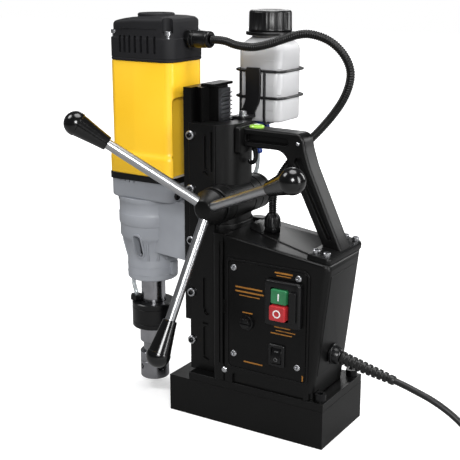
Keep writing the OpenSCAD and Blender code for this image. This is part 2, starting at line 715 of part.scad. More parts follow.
module motor_cap() color([0.2, 0.2, 0.21]) difference() {
  union() {
    round_block([motor_x[0] + 2, motor_x[1] + 0.5], [-motor_hw + 1, motor_hw - 1], [motor_z[1], 430.5], 12);
    round_block(shoulder_x, [-motor_hw + 1, motor_hw - 2], [430, 445], 12);
    hull() {
      round_block(shoulder_x, [-motor_hw + 1, motor_hw - 2], [444.5, 445], 12, $fn = 32);
      round_block(crown_x, [-motor_hw + 12, motor_hw - 12], [453, cap_z - 3], 12, $fn = 32);
    }
    rod_z(motor_axis_x, 0, cap_z - 3.5, cap_z, 21);
  }
  round_block([motor_x[0] + 7, motor_x[1] - 4], [-motor_hw + 5, motor_hw - 5], [motor_z[1] - 1, 431], 9);
  cap_slots(-60, -20);
  cap_slots(20, 60);
  rod_x(0, gland_z, -112, -100, 7);
  for (p = cap_corners) rod_z(p[0], p[1], 435, 460, 6.2);
  for (p = cap_corners) rod_z(p[0], p[1], 424, 440, 2.6);
}

module cap_screws() color([0.6, 0.6, 0.6]) for (p = cap_corners)
  translate([p[0], p[1], 439]) socket_screw(4, 4, 2.5, 10);

module stator() color([0.45, 0.42, 0.4]) difference() {
  round_block(cavity_x, [-motor_hw + 6, motor_hw - 6], [300, 365], 10);
  rod_z(motor_axis_x, 0, 299, 366, 23);
}

// Rings of the spindle's and the armature's bearings
module bearing(x, z, r0, r1, h) {
  difference() {
    rod_z(x, 0, z, z + h, r1);
    rod_z(x, 0, z - 1, z + h + 1, r0);
  }
}

module bearings() color([0.7, 0.7, 0.72]) {
  bearing(spindle_x, 148, 12.05, 23.8, 14);
  bearing(spindle_x, 234, 10.05, 18.8, 12);
  bearing(motor_axis_x, 277, 3.55, 9.4, 8);
}

module coolant_ring() color([0.06, 0.06, 0.06]) difference() {
  rod_z(spindle_x, 0, 80.2, 112, 26.3);
  rod_z(spindle_x, 0, 79, 113, 15.1);
  rod_z(elbow_pos[0], elbow_pos[1], 96, 113, 3.5);
}

module ring_elbow() {
  color([0.05, 0.05, 0.05]) {
    rod_z(elbow_pos[0], elbow_pos[1], 97, 112, 3.4);
    rod_z(elbow_pos[0], elbow_pos[1], 112, 115, 5);
  }
  color([0.1, 0.35, 0.8]) rod_z(elbow_pos[0], elbow_pos[1], 115, 117, 4.4);
}

// ---- Spindle, layshaft and armature ----

module spindle() color([0.8, 0.8, 0.82]) difference() {
  union() {
    rod_z(spindle_x, 0, spindle_z, 47, 17.65);
    rod_z(spindle_x, 0, 46.9, 60, 13.6);
    rod_z(spindle_x, 0, 60, 79.8, 17.4);
    rod_z(spindle_x, 0, 79.7, 147, 14.7);
    rod_z(spindle_x, 0, 146.9, 172, 12);
    rod_z(spindle_x, 0, 171.9, 259.5, 10);
  }
  rod_z(spindle_x, 0, spindle_z - 1, spindle_z + arbor_l, arbor_r);
  for (a = [-118, -28]) translate([spindle_x, 0, 27]) rotate([0, 90, a]) cylinder(h = 30, r = 3.5);
}

module arbor_screws() color([0.3, 0.3, 0.3]) for (a = [-118, -28])
  translate([spindle_x, 0, 27]) rotate([0, 90, a]) difference() {
    translate([0, 0, arbor_r + 0.6]) cylinder(h = 6, r = 3.45);
    translate([0, 0, arbor_r + 4]) cylinder(h = 6, r = 1.8, $fn = 6);
  }

module spindle_gear() color([0.6, 0.6, 0.62]) translate([spindle_x, 0, 250]) linear_extrude(8) difference() {
  rotate(atan2(lay_y, lay_x - spindle_x) + 180 / spindle_n) gear_2d(spindle_n, gear_module);
  circle(10);
}

module layshaft() color([0.6, 0.6, 0.62]) translate([lay_x, lay_y, 0]) {
  translate([0, 0, 243.2]) cylinder(h = 36, r = 4);
  translate([0, 0, 249.6]) linear_extrude(8.8)
    rotate(atan2(-lay_y, spindle_x - lay_x)) gear_2d(lay_small_n, gear_module);
  translate([0, 0, 261]) linear_extrude(7)
    rotate(atan2(-lay_y, motor_axis_x - lay_x) + 180 / lay_big_n) gear_2d(lay_big_n, gear_module);
}

module armature() {
  color([0.6, 0.6, 0.62]) rod_z(motor_axis_x, 0, 268, 396, 3.5);
  color([0.6, 0.6, 0.62]) translate([motor_axis_x, 0, 260.4]) linear_extrude(8.2)
    rotate(atan2(lay_y, lay_x - motor_axis_x)) gear_2d(pinion_n, gear_module);
  color([0.45, 0.42, 0.4]) rod_z(motor_axis_x, 0, 302, 363, 22);
  color([0.7, 0.45, 0.2]) rod_z(motor_axis_x, 0, 368, 386, 11);
  color([0.2, 0.2, 0.2]) rod_z(motor_axis_x, 0, 289, 297, 24);
}

// ---- Feed ----

// Pinion, shaft and hub, turned from one bar; the hub's nose is a cone
module feed_shaft() {
  color([0.5, 0.5, 0.52]) rod_y(pinion_pos[0], pinion_pos[2], -60, -9, 8);
  color([0.5, 0.5, 0.52]) rod_y(pinion_pos[0], pinion_pos[2], 9, 48, 8);
  color([0.5, 0.5, 0.52]) translate([pinion_pos[0], 9, pinion_pos[2]]) rotate([90, 0, 0])
    linear_extrude(18) rotate(180 / pinion_teeth) gear_2d(pinion_teeth, rack_module);
  color([0.2, 0.2, 0.21]) difference() {
    translate([pinion_pos[0], 0, pinion_pos[2]]) rotate([90, 0, 0]) rotate_extrude()
      polygon([[0, 50.5], [19, 50.5], [20, 52], [20, 57], [10.8, 69], [9.8, 70], [0, 70]]);
    for (k = [0:2]) along_spoke(k) translate([0, 0, 9]) cylinder(h = 40, r = spoke_r);
  }
}

// Puts a shape drawn along +Z onto spoke k
module along_spoke(k) {
  translate([pinion_pos[0], hub_origin_y, pinion_pos[2]]) rotate([0, -first_spoke - 120 * k, 0])
    rotate([0, 0, -spoke_lean]) rotate([0, 90, 0]) children();
}

module spokes() color([0.8, 0.8, 0.82]) for (k = [0:2]) along_spoke(k) translate([0, 0, 9])
  cylinder(h = spoke_reach - 35, r = spoke_r);

module grips() color([0.08, 0.08, 0.08]) for (k = [0:2]) along_spoke(k) difference() {
  union() {
    translate([0, 0, spoke_reach - 52]) cylinder(h = 40, r1 = 8, r2 = 12.4);
    translate([0, 0, spoke_reach - 13.4]) sphere(13.4);
  }
  translate([0, 0, spoke_reach - 60]) cylinder(h = 34, r = spoke_r);
}

magnet_block();
magnet_coil();
foot_plate();
magnet_bolts();
column();
gib_strip();
gib_screws();
pinion_housing();
pinion_bushes();
control_box();
rear_cover();
panel_plate();
panel_screws();
switch_block();
rocker_frame();
fuse_holder();
circuit_board();
handle();
handle_bolts();
spirit_level();
bottle_bracket();
bottle_cage();
bottle();
coolant_valve();
coolant_tube();
box_gland();
conduit();
cord_gland();
strain_relief();
power_cord();
cord_coil();
cord_tail();
plug();
green_button();
red_button();
rocker();
fuse_cap();
bottle_cap();
valve_lever();
slide();
rack();
gearbox_housing();
carriage_bolts();
air_louvre();
motor_housing();
motor_cap();
cap_screws();
motor_gland();
stator();
bearings();
coolant_ring();
ring_elbow();
spindle();
arbor_screws();
spindle_gear();
layshaft();
armature();
feed_shaft();
spokes();
grips();
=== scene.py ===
"""Magnetic drill press: the looks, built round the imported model.

Lengths are millimetres in the frame's axes, and add() turns them into metres.
+Z is up, +X runs from the spindle to the power cord, and -Y faces the control panel.
"""

import json
import math

import bmesh
import bpy
from mathutils import Matrix, Vector


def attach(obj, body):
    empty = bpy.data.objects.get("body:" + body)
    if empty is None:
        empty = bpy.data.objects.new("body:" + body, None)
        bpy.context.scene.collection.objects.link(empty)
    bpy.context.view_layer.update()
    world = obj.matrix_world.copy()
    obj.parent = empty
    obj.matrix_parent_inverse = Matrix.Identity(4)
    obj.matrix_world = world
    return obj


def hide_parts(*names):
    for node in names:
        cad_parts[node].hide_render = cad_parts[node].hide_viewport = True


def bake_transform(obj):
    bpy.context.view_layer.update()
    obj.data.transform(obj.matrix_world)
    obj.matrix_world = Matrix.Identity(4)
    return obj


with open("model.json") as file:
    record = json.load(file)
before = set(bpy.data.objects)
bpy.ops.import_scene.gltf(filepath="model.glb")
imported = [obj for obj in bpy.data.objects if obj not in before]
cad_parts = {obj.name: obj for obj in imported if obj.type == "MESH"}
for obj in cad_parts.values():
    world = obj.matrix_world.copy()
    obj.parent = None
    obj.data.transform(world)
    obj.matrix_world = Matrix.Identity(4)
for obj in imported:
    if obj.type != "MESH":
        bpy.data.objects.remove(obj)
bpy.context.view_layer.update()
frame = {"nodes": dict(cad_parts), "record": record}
MM = 0.001

# ---------------------------------------------------------------- shapes
# A shape is (points, faces).


def moved(shape, matrix):
    return [matrix @ Vector(p) for p in shape[0]], shape[1]


def joined(*shapes):
    points, faces = [], []
    for some_points, some_faces in shapes:
        start = len(points)
        points += [Vector(p) for p in some_points]
        faces += [[start + i for i in face] for face in some_faces]
    return points, faces


def at(x, y, z):
    return Matrix.Translation((x, y, z))


def rotation(degrees, axis):
    return Matrix.Rotation(math.radians(degrees), 4, axis)


def towards(origin, direction):
    """Turns +Z into a direction, with its start at the origin given."""
    return at(*origin) @ Vector(direction).to_track_quat("Z", "Y").to_matrix().to_4x4()


def fillet(corners, radius=0.0, steps=6):
    """A closed outline with round corners. A corner's third number is its own radius."""
    outline = []
    for i, corner in enumerate(corners):
        here = Vector(corner[:2])
        before = Vector(corners[i - 1][:2]) - here
        after = Vector(corners[(i + 1) % len(corners)][:2]) - here
        r = corner[2] if len(corner) > 2 else radius
        half = before.angle(after) / 2
        if r <= 0 or half > 1.56:
            outline.append(here)
            continue
        reach = min(r / math.tan(half), 0.49 * before.length, 0.49 * after.length)
        centre = here + (before.normalized() + after.normalized()).normalized() * reach / math.cos(half)
        start = here + before.normalized() * reach - centre
        end = here + after.normalized() * reach - centre
        turn = math.atan2(start.x * end.y - start.y * end.x, start.dot(end))
        for k in range(steps + 1):
            c, s = math.cos(turn * k / steps), math.sin(turn * k / steps)
            outline.append(centre + Vector((start.x * c - start.y * s, start.x * s + start.y * c)))
    return outline


def rectangle(x0, x1, y0, y1, radius=0.0, steps=6):
    return fillet([(x0, y0), (x1, y0), (x1, y1), (x0, y1)], radius, steps)


def circle(x, y, r, sides=32):
    return [Vector((x + r * math.cos(2 * math.pi * k / sides), y + r * math.sin(2 * math.pi * k / sides)))
            for k in range(sides)]


def loft(rings, closed=False):
    """Joins rings of equally many points, and caps the ends unless the row of rings is closed."""
    n = len(rings[0])
    points = [Vector(p) for ring in rings for p in ring]
    pairs = [(k, (k + 1) % len(rings)) for k in range(len(rings) if closed else len(rings) - 1)]
    faces = [[a * n + i, a * n + (i + 1) % n, b * n + (i + 1) % n, b * n + i]
             for a, b in pairs for i in range(n)]
    if not closed:
        faces += [list(range(n)), [(len(rings) - 1) * n + i for i in range(n)]]
    return points, faces


def in_z(outline, z):
    """An outline in X and Y, as a ring at a height."""
    return [(p[0], p[1], z) for p in outline]


def in_y(outline, y):
    """An outline in X and Z, as a ring at a depth."""
    return [(p[0], y, p[1]) for p in outline]


def in_x(outline, x):
    """An outline in Y and Z, as a ring at a place along X."""
    return [(x, p[0], p[1]) for p in outline]


def prism(outline, low, high):
    """An outline in X and Y, extruded in Z. prism_y and prism_x do the same along Y and X."""
    return loft([in_z(outline, low), in_z(outline, high)])


def prism_y(outline, y0, y1):
    return loft([in_y(outline, y0), in_y(outline, y1)])


def prism_x(outline, x0, x1):
    return loft([in_x(outline, x0), in_x(outline, x1)])


def pin(r, low, high, sides=32):
    """A round bar about Z."""
    return prism(circle(0, 0, r, sides), low, high)


def wheel(radii):
    """A closed outline about the origin, with these radii at equal angles."""
    turns = [2 * math.pi * k / len(radii) for k in range(len(radii))]
    return [(r * math.cos(a), r * math.sin(a)) for r, a in zip(radii, turns)]


def block(x, y, z):
    return prism(rectangle(x[0], x[1], y[0], y[1]), z[0], z[1])


def lathe(profile, sides=64):
    """(radius, height) pairs turned about Z. A radius of 0 makes a point; other ends are capped."""
    points, rings, faces = [], [], []
    for r, h in profile:
        count = 1 if r == 0 else sides
        rings.append([len(points) + i for i in range(count)])
        points += [Vector((r * math.cos(2 * math.pi * i / sides), r * math.sin(2 * math.pi * i / sides), h))
                   for i in range(count)]
    for low, high in zip(rings, rings[1:]):
        for i in range(sides):
            corners = [low[i % len(low)], low[(i + 1) % len(low)], high[(i + 1) % len(high)],
                       high[i % len(high)]]
            faces.append(list(dict.fromkeys(corners)))
    faces += [ring for ring in (rings[0], rings[-1]) if len(ring) > 1]
    return points, faces


def ring_of(profile, sides=64):
    """A closed profile of (radius, height) pairs turned about Z into a ring."""
    turns = [2 * math.pi * i / sides for i in range(sides)]
    return loft([[(r * math.cos(a), r * math.sin(a), h) for r, h in profile] for a in turns], closed=True)


def arc(cx, cy, r, start, end, steps=8):
    """Points on an arc, by its angles in degrees."""
    angles = [math.radians(start + (end - start) * k / steps) for k in range(steps + 1)]
    return [(cx + r * math.cos(a), cy + r * math.sin(a)) for a in angles]


def smooth(points, step):
    """A Catmull-Rom curve through points, cut into steps of about that length."""
    p = [Vector(q) for q in points]
    p = [2 * p[0] - p[1], *p, 2 * p[-1] - p[-2]]
    fine = []
    for a, b, c, d in zip(p, p[1:], p[2:], p[3:]):
        count = max(1, round((c - b).length / step))
        for k in range(count):
            t = k / count
            fine.append(0.5 * (2 * b + (c - a) * t + (2 * a - 5 * b + 4 * c - d) * t * t
                               + (3 * b - a - 3 * c + d) * t ** 3))
    return [*fine, p[-2]]


def tube(path, radius, sides=16):
    """A swept tube. radius is a number, or a function of the distance along the path."""
    path = [Vector(p) for p in path]
    side, gone, rings = None, 0.0, []
    for i, p in enumerate(path):
        along = (path[min(i + 1, len(path) - 1)] - path[max(i - 1, 0)]).normalized()
        if side is None:
            side = along.orthogonal().normalized()
        side = (side - along * side.dot(along)).normalized()
        other = along.cross(side)
        gone += (p - path[i - 1]).length if i else 0
        r = radius(gone) if callable(radius) else radius
        rings.append([p + side * r * math.cos(a) + other * r * math.sin(a)
                      for a in (2 * math.pi * k / sides for k in range(sides))])
    return loft(rings)


def rod(start, end, r, sides=32):
    return tube([start, end], r, sides)


def plain_object(shape, name="scratch"):
    mesh = bpy.data.meshes.new(name)
    mesh.from_pydata([Vector(p) for p in shape[0]], [], shape[1])
    tidy = bmesh.new()
    tidy.from_mesh(mesh)
    bmesh.ops.recalc_face_normals(tidy, faces=tidy.faces)
    tidy.to_mesh(mesh)
    tidy.free()
    thing = bpy.data.objects.new(name, mesh)
    bpy.context.scene.collection.objects.link(thing)
    return thing


def cut(shape, *tools, keep="DIFFERENCE"):
    """The shape less the tools, or what keep says instead: their UNION or INTERSECT."""
    base = plain_object(shape)
    for tool in tools:
        other = plain_object(tool)
        step = base.modifiers.new("cut", "BOOLEAN")
        step.operation = keep
        step.solver = "EXACT"
        step.object = other
        made = bpy.data.meshes.new_from_object(base.evaluated_get(bpy.context.evaluated_depsgraph_get()))
        base.modifiers.clear()
        base.data = made
        bpy.data.objects.remove(other)
    result = [v.co.copy() for v in base.data.vertices], [list(f.vertices) for f in base.data.polygons]
    bpy.data.objects.remove(base)
    return result


def united(*shapes):
    return cut(shapes[0], *shapes[1:], keep="UNION")


# ---------------------------------------------------------------- materials

TONE_STOPS = (0.32, 0.68)
GLOSS_SPREAD = 0.06
GRAIN_DEPTH = 0.05


def linear(code):
    """A colour written as six hexadecimal digits, as shader numbers."""
    parts = [int(code[i:i + 2], 16) / 255 for i in (0, 2, 4)]
    return [c / 12.92 if c <= 0.04045 else ((c + 0.055) / 1.055) ** 2.4 for c in parts] + [1.0]


def fill(node, **values):
    """Sets a shader node's inputs by name, where _ stands for a space."""
    for name, value in values.items():
        node.inputs[name.replace("_", " ")].default_value = value
    return node


def surface(name, dark, light, rough, metal=0.0, cloud=18.0, grain=900.0, bump=0.15, coat=0.0,
            coat_rough=0.15,
            streak=(1, 1, 1), clear=0.0, shine=0.5):
    """A procedural finish: cloudy colour between two tones, with fine grain in its relief and gloss.

    cloud and grain are patterns per metre, and streak stretches the grain along an axis as turned or drawn
    metal shows it.
    """
    made = bpy.data.materials.new(name)
    made.use_nodes = True
    tree = made.node_tree
    link, node = tree.links.new, tree.nodes.new
    shader = fill(tree.nodes["Principled BSDF"], Metallic=metal, Specular_IOR_Level=shine, Coat_Weight=coat,
                  Coat_Roughness=coat_rough, Transmission_Weight=clear)
    place = node("ShaderNodeTexCoord").outputs["Object"]

    blotch = fill(node("ShaderNodeTexNoise"), Scale=cloud, Detail=5)
    link(place, blotch.inputs["Vector"])
    tone = node("ShaderNodeValToRGB")
    for stop, position, code in zip(tone.color_ramp.elements, TONE_STOPS, (dark, light)):
        stop.position, stop.color = position, linear(code)
    link(blotch.outputs["Fac"], tone.inputs["Fac"])
    link(tone.outputs["Color"], shader.inputs["Base Color"])

    stretch = fill(node("ShaderNodeMapping"), Scale=streak)
    link(place, stretch.inputs["Vector"])
    fine = fill(node("ShaderNodeTexNoise"), Scale=grain, Detail=3)
    link(stretch.outputs["Vector"], fine.inputs["Vector"])
    gloss = fill(node("ShaderNodeMapRange"), To_Min=rough - GLOSS_SPREAD, To_Max=rough + GLOSS_SPREAD)
    link(fine.outputs["Fac"], gloss.inputs["Value"])
    link(gloss.outputs["Result"], shader.inputs["Roughness"])
    relief = fill(node("ShaderNodeBump"), Strength=bump, Distance=GRAIN_DEPTH * MM)
    link(fine.outputs["Fac"], relief.inputs["Height"])
    link(relief.outputs["Normal"], shader.inputs["Normal"])
    return made


# Each finish has its two tones, its roughness, and what differs from surface()'s usual values.
LOOKS = {
    "black_casting": ("060606", "090909", 0.36, dict(cloud=14, grain=1500, bump=0.3, shine=0.24)),
    "rear_grey": ("080808", "0d0d0e", 0.38, dict(cloud=14, grain=1500, bump=0.3, shine=0.24)),
    "gearbox_grey": ("94979d", "9ea1a7", 0.42, dict(cloud=20, grain=1300, bump=0.35)),
    "motor_yellow": ("fcc524", "fecb30", 0.36, dict(cloud=12, grain=1700)),
    "cap_grey": ("18181a", "1e1e20", 0.62, dict(cloud=16, grain=1600, bump=0.5, shine=0.2)),
    "black_plastic": ("070708", "0c0c0d", 0.3, dict(cloud=20, grain=1600, bump=0.2, shine=0.36)),
    "grip_black": ("050505", "080809", 0.18, dict(cloud=30, bump=0.05, coat=0.3, shine=0.4)),
    "panel_black": ("060606", "090909", 0.34, dict(cloud=30, grain=2400, bump=0.2, shine=0.2)),
    "chrome": ("b4b5b7", "bebfc1", 0.3, dict(metal=1, cloud=60, grain=3000, bump=0.01)),
    "spindle_steel": ("9b9b9f", "b0b0b4", 0.22, dict(metal=1, cloud=50, grain=700, streak=(0.05, 0.05, 3),
                                                     bump=0.2)),
    "plain_steel": ("6e6f72", "85868a", 0.34, dict(metal=1, cloud=60, bump=0.2)),
    "zinc_screws": ("b4b5b8", "d0d1d4", 0.28, dict(metal=1, cloud=300, grain=2000)),
    "black_screws": ("101011", "1a1a1c", 0.3, dict(metal=0.6, cloud=200, grain=2000, bump=0.2)),
    "bronze": ("8f6a35", "a97f45", 0.35, dict(metal=1, cloud=60, bump=0.2)),
    "coil": ("5f3015", "7d4420", 0.4, dict(cloud=60, grain=500, streak=(1, 1, 30), bump=0.3)),
    "board": ("123f22", "1a5a30", 0.4, dict(cloud=60, grain=600, bump=0.2)),
    "button_green": ("266a42", "2f774d", 0.3, dict(cloud=60, grain=1800)),
    "button_red": ("a5262b", "b52f34", 0.3, dict(cloud=60, grain=1800)),
    "level_green": ("93c845", "aee15a", 0.12, dict(cloud=90, bump=0.05, coat=0.8, coat_rough=0.04)),
    "wire_black": ("0b0b0c", "151517", 0.3, dict(cloud=60, grain=1500)),
    "strap_grey": ("0a0a0b", "121214", 0.4, dict(cloud=40, grain=1500, bump=0.2)),
    "bottle_white": ("c2c2c3", "cfcfd1", 0.38, dict(cloud=9, grain=500, clear=0.12)),
    "valve_blue": ("0d2f78", "12409a", 0.3, dict(cloud=60, grain=1500, bump=0.1)),
    "tube_clear": ("d6dee2", "e8eef0", 0.1, dict(cloud=40, grain=400, bump=0.05, clear=0.7)),
    "conduit_black": ("060606", "0b0b0b", 0.36, dict(cloud=40, grain=1500, shine=0.3)),
    "cord_black": ("0b0b0b", "121212", 0.4, dict(cloud=40, grain=1200, bump=0.25)),
    "mark_white": ("dcdcdc", "f0f0f0", 0.4, dict(cloud=200, grain=1500, bump=0.1)),
    "mark_grey": ("4c4c4d", "5c5c5d", 0.4, dict(cloud=200, grain=1500, bump=0.1)),
    "mark_amber": ("8f5c1a", "a66f25", 0.45, dict(cloud=200, grain=1500, bump=0.1)),
}
FINISHES = {name: surface(name, dark, light, rough, **more) for name,
            (dark, light, rough, more) in LOOKS.items()}

# ---------------------------------------------------------------- pieces

WELD_REACH = 0.00001


def soften(piece, width, steps, angle):
    """Rounds the piece's edges by a width in millimetres."""
    rounding = piece.modifiers.new("rounding", "BEVEL")
    rounding.width = width * MM
    rounding.segments = steps
    rounding.limit_method = "ANGLE"
    rounding.angle_limit = math.radians(angle)
    rounding.miter_outer = "MITER_ARC"
    rounding.harden_normals = True


def add(name, shape, body, finish, stands_for=(), bevel=0.0, angle=32):
    """A piece of the object, from a shape in millimetres, riding on a body.

    A piece with a CAD node's name stands for that node, unless it is told what it stands for. Marks have no
    slot in the record.
    """
    piece = plain_object(shape, name)
    piece.data.transform(Matrix.Scale(MM, 4))
    piece.data.shade_smooth()
    piece.data.set_sharp_from_angle(angle=math.radians(angle))
    if bevel:
        soften(piece, bevel, 3, angle)
    piece.data.materials.append(FINISHES[finish])
    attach(piece, body)
    if name in frame["nodes"] and not stands_for:
        stands_for = [name]
    if stands_for:
        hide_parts(*stands_for)
    return piece


def casting(name, shape, stands_for=(), **more):
    """A piece of the frame's black castings."""
    return add(name, shape, "root", "black_casting", stands_for, **more)


def plastic(name, shape, stands_for=(), body="root", **more):
    return add(name, shape, body, "black_plastic", stands_for, **more)


def dress(node, finish, bevel=0.0):
    """A CAD node kept as it is, with its finish and rounded edges."""
    piece = frame["nodes"][node]
    piece.data.materials.clear()
    piece.data.materials.append(FINISHES[finish])
    if bevel:
        weld = piece.modifiers.new("weld", "WELD")
        weld.merge_threshold = WELD_REACH
        soften(piece, bevel, 2, 32)
    return piece


# ---------------------------------------------------------------- camera, stage and light

AZIMUTH, ELEVATION = 31.66, 15.15
CAMERA_PLACE = (0.53381, -0.94309, 0.51568)
LENS = 78.26
FLOOR_HALF, FLOOR_DEPTH, FLOOR_TOP = 6000, -20, -0.2
FLOOR_SEEN, FLOOR_REFLECTED = (0.86, 0.86, 0.86, 1), (0.3, 0.3, 0.3, 1)
ROOM_STRENGTH = 0.11


def turn_to(thing, direction):
    thing.rotation_mode = "QUATERNION"
    thing.rotation_quaternion = direction.to_track_quat("-Z", "Y")
    bpy.context.scene.collection.objects.link(thing)


def make_camera():
    a, e = math.radians(AZIMUTH), math.radians(ELEVATION)
    camera = bpy.data.objects.new("camera", bpy.data.cameras.new("camera"))
    camera.data.sensor_width = 36
    camera.data.lens = LENS
    camera.location = CAMERA_PLACE
    turn_to(camera, -Vector((math.sin(a) * math.cos(e), -math.cos(a) * math.cos(e), math.sin(e))))
    bpy.context.scene.camera = camera


def area_light(name, place, target, size, power):
    lamp = bpy.data.lights.new(name, "AREA")
    lamp.shape = "ELLIPSE"
    lamp.size, lamp.size_y = size
    lamp.energy = power
    thing = bpy.data.objects.new(name, lamp)
    thing.location = place
    turn_to(thing, Vector(target) - Vector(place))


def make_stage():
    """A pale floor and a white backdrop that the object's own reflections see as a dimmer studio. The floor
    glows for camera rays, which is painted light; the glow is weaker near the object, where its real shadow
    falls.
    """
    floor = plain_object(prism(rectangle(-FLOOR_HALF, FLOOR_HALF, -FLOOR_HALF, FLOOR_HALF), FLOOR_DEPTH,
                               FLOOR_TOP),
                         "floor")
    floor.data.transform(Matrix.Scale(MM, 4))
    paper = bpy.data.materials.new("pale_floor")
    paper.use_nodes = True
    tree = paper.node_tree
    link, node = tree.links.new, tree.nodes.new
    shader = fill(tree.nodes["Principled BSDF"], Roughness=0.9, Emission_Color=(1, 1, 1, 1))
    spread = node("ShaderNodeVectorMath")
    spread.operation = "LENGTH"
    link(node("ShaderNodeTexCoord").outputs["Object"], spread.inputs[0])
    # Painted light: the floor's glow for camera rays, weakest near the object and strongest far off.
    far = fill(node("ShaderNodeMapRange"), From_Min=0.35, From_Max=1.3, To_Min=0.3, To_Max=1.2)
    link(spread.outputs["Value"], far.inputs["Value"])
    to_camera = node("ShaderNodeLightPath").outputs["Is Camera Ray"]
    glow = node("ShaderNodeMath")
    glow.operation = "MULTIPLY"
    link(to_camera, glow.inputs[0])
    link(far.outputs["Result"], glow.inputs[1])
    link(glow.outputs[0], shader.inputs["Emission Strength"])
    # Painted light: camera rays see the brighter floor colour, other rays see the darker one.
    shown = node("ShaderNodeMix")
    shown.data_type = "RGBA"
    link(to_camera, shown.inputs["Factor"])
    shown.inputs["A"].default_value = FLOOR_REFLECTED
    shown.inputs["B"].default_value = FLOOR_SEEN
    link(shown.outputs["Result"], shader.inputs["Base Color"])
    floor.data.materials.append(paper)

    world = bpy.data.worlds.new("studio")
    bpy.context.scene.world = world
    world.use_nodes = True
    tree = world.node_tree
    tree.nodes.clear()
    link, node = tree.links.new, tree.nodes.new
    mix = node("ShaderNodeMixShader")
    seen = fill(node("ShaderNodeBackground"), Color=(1, 1, 1, 1))
    room = fill(node("ShaderNodeBackground"), Color=(0.95, 0.97, 1, 1), Strength=ROOM_STRENGTH)
    link(node("ShaderNodeLightPath").outputs["Is Camera Ray"], mix.inputs[0])
    link(room.outputs[0], mix.inputs[1])
    link(seen.outputs[0], mix.inputs[2])
    link(mix.outputs[0], node("ShaderNodeOutputWorld").inputs["Surface"])


def make_lights():
    """Each lamp by its place, its target and its size in metres, and its power in watts."""
    area_light("key", (1.3, -1.9, 1.3), (-0.1, 0, 0.25), (0.9, 0.9), 48)
    area_light("left_fill", (-1.3, -0.7, 1.8), (-0.1, 0, 0.25), (0.9, 0.9), 17)
    area_light("right_strip", (1.7, -0.1, 0.8), (0, 0, 0.25), (0.5, 1.4), 20)
    area_light("top", (0.1, 0.1, 1.9), (0, 0, 0.2), (1.2, 1.2), 22)
    area_light("back_left", (-0.94, 1.81, 1.03), (0.05, 0, 0.22), (0.6, 0.6), 3.4)
    area_light("back_rim", (0.9, 1.5, 0.9), (0, 0, 0.3), (0.5, 1.2), 9)


make_camera()
make_stage()
make_lights()
bpy.context.scene.view_settings.view_transform = "Standard"

# ---------------------------------------------------------------- cords

CORD_R, COOLANT_HOSE_R = 3.5, 2.5
RELIEF_START = Vector((96, -14, 98))
RELIEF_DIR = Vector((math.cos(math.radians(12)), 0, -math.sin(math.radians(12))))
RELIEF_LENGTH = 72
CORD_ROUTE = [
    (163, -14, 84), (176, -14, 81), (190, -14, 77), (206, -14, 72), (222, -14, 65), (238, -15, 56),
    (252, -17, 46), (266, -20, 35), (280, -24, 24), (294, -29, 15), (310, -35, 8), (328, -43, 5),
    (348, -51, 4), (368, -57, 4), (388, -59, 4), (400, -59, 4),
]
COIL_X, COIL_Y = 400, -10
COIL_INNER, COIL_OUTER = 28, 49
COIL_LOW, COIL_HIGH = 4, 11
COIL_TURNS, TURN_STEPS = 3, 36
TIE_HALF, TIE_THICKNESS, TIE_TOP = 4, 0.4, 15.4
TAIL_ROUTE = [
    (449, -10, 11), (449, 2, 11), (448, 16, 10), (446, 30, 8), (443, 44, 5), (438, 58, 4), (431, 71, 5),
    (422, 83, 7), (412, 96, 9),
]
CONDUIT_ROUTE = [
    (8, 0, 243), (8, 0, 256), (9, 2, 270), (13, 7, 284), (20, 13, 298), (30, 19, 312), (42, 23, 326),
    (55, 24, 340), (68, 23, 355), (80, 20, 371), (88, 17, 387), (91, 14, 402), (87, 11, 416), (77, 9, 428),
    (64, 7, 436), (48, 5, 440), (34, 4, 439), (18, 3, 434), (0, 2, 428), (-20, 1, 424), (-40, 0, 425.5),
    (-52, 0, 428.8), (-62, 0, 430), (-71.9, 0, 430),
]
TUBE_ROUTE = [
    (-52, 70, 294), (-52, 70, 284), (-54, 71, 274), (-60, 72, 264), (-69, 72, 256), (-82, 71, 249),
    (-98, 70, 242), (-115, 68, 234), (-132, 66, 224), (-149, 62, 212), (-165, 56, 199), (-179, 46, 184),
    (-188, 33, 168), (-192, 20, 154), (-191, 8, 142), (-186.5, -2, 133), (-180, -8.5, 127),
    (-176, -11, 121.5), (-176, -11, 117.1),
]


def coil_points():
    """Three turns inward on the floor, a short climb, and three turns outward on top."""
    shares = [k / (TURN_STEPS * COIL_TURNS) for k in range(TURN_STEPS * COIL_TURNS + 1)]
    turned, climb = 360 * COIL_TURNS, TURN_STEPS // 4
    points = [(turned * s - 90, COIL_OUTER + (COIL_INNER - COIL_OUTER) * s, COIL_LOW) for s in shares]
    points += [(turned - 90 + 90 * k / climb, COIL_INNER, COIL_LOW + (COIL_HIGH - COIL_LOW) * k / climb)
               for k in range(1, climb + 1)]
    points += [(turned * (1 + s), COIL_INNER + (COIL_OUTER - COIL_INNER) * s, COIL_HIGH) for s in shares[1:]]
    return [(COIL_X + r * math.cos(math.radians(a)), COIL_Y + r * math.sin(math.radians(a)), z)
            for a, r, z in points]


def power_cord(plug_pieces):
    path = smooth(CORD_ROUTE, 5)[:-1] + coil_points() + smooth(TAIL_ROUTE, 5)[1:]
    curve = bpy.data.curves.new("power_cord", "CURVE")
    curve.dimensions = "3D"
    curve.bevel_depth = CORD_R * MM
    curve.bevel_resolution = 4
    curve.use_fill_caps = True
    line = curve.splines.new("POLY")
    line.points.add(len(path) - 1)
    for point, place in zip(line.points, path):
        point.co = (*(Vector(place) * MM), 1)
    cord = bpy.data.objects.new("power_lead", curve)
    bpy.context.scene.collection.objects.link(cord)
    curve.materials.append(FINISHES["cord_black"])
    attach(cord, "root")
    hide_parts("power_cord", "cord_coil", "cord_tail")


def crossing_cord(name, node, shape, finish):
    """A hose between the frame and the carriage, unparented, with its placing baked into its mesh."""
    piece = add(name, shape, "root", finish, [node], angle=60)
    piece.parent = None
    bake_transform(piece)


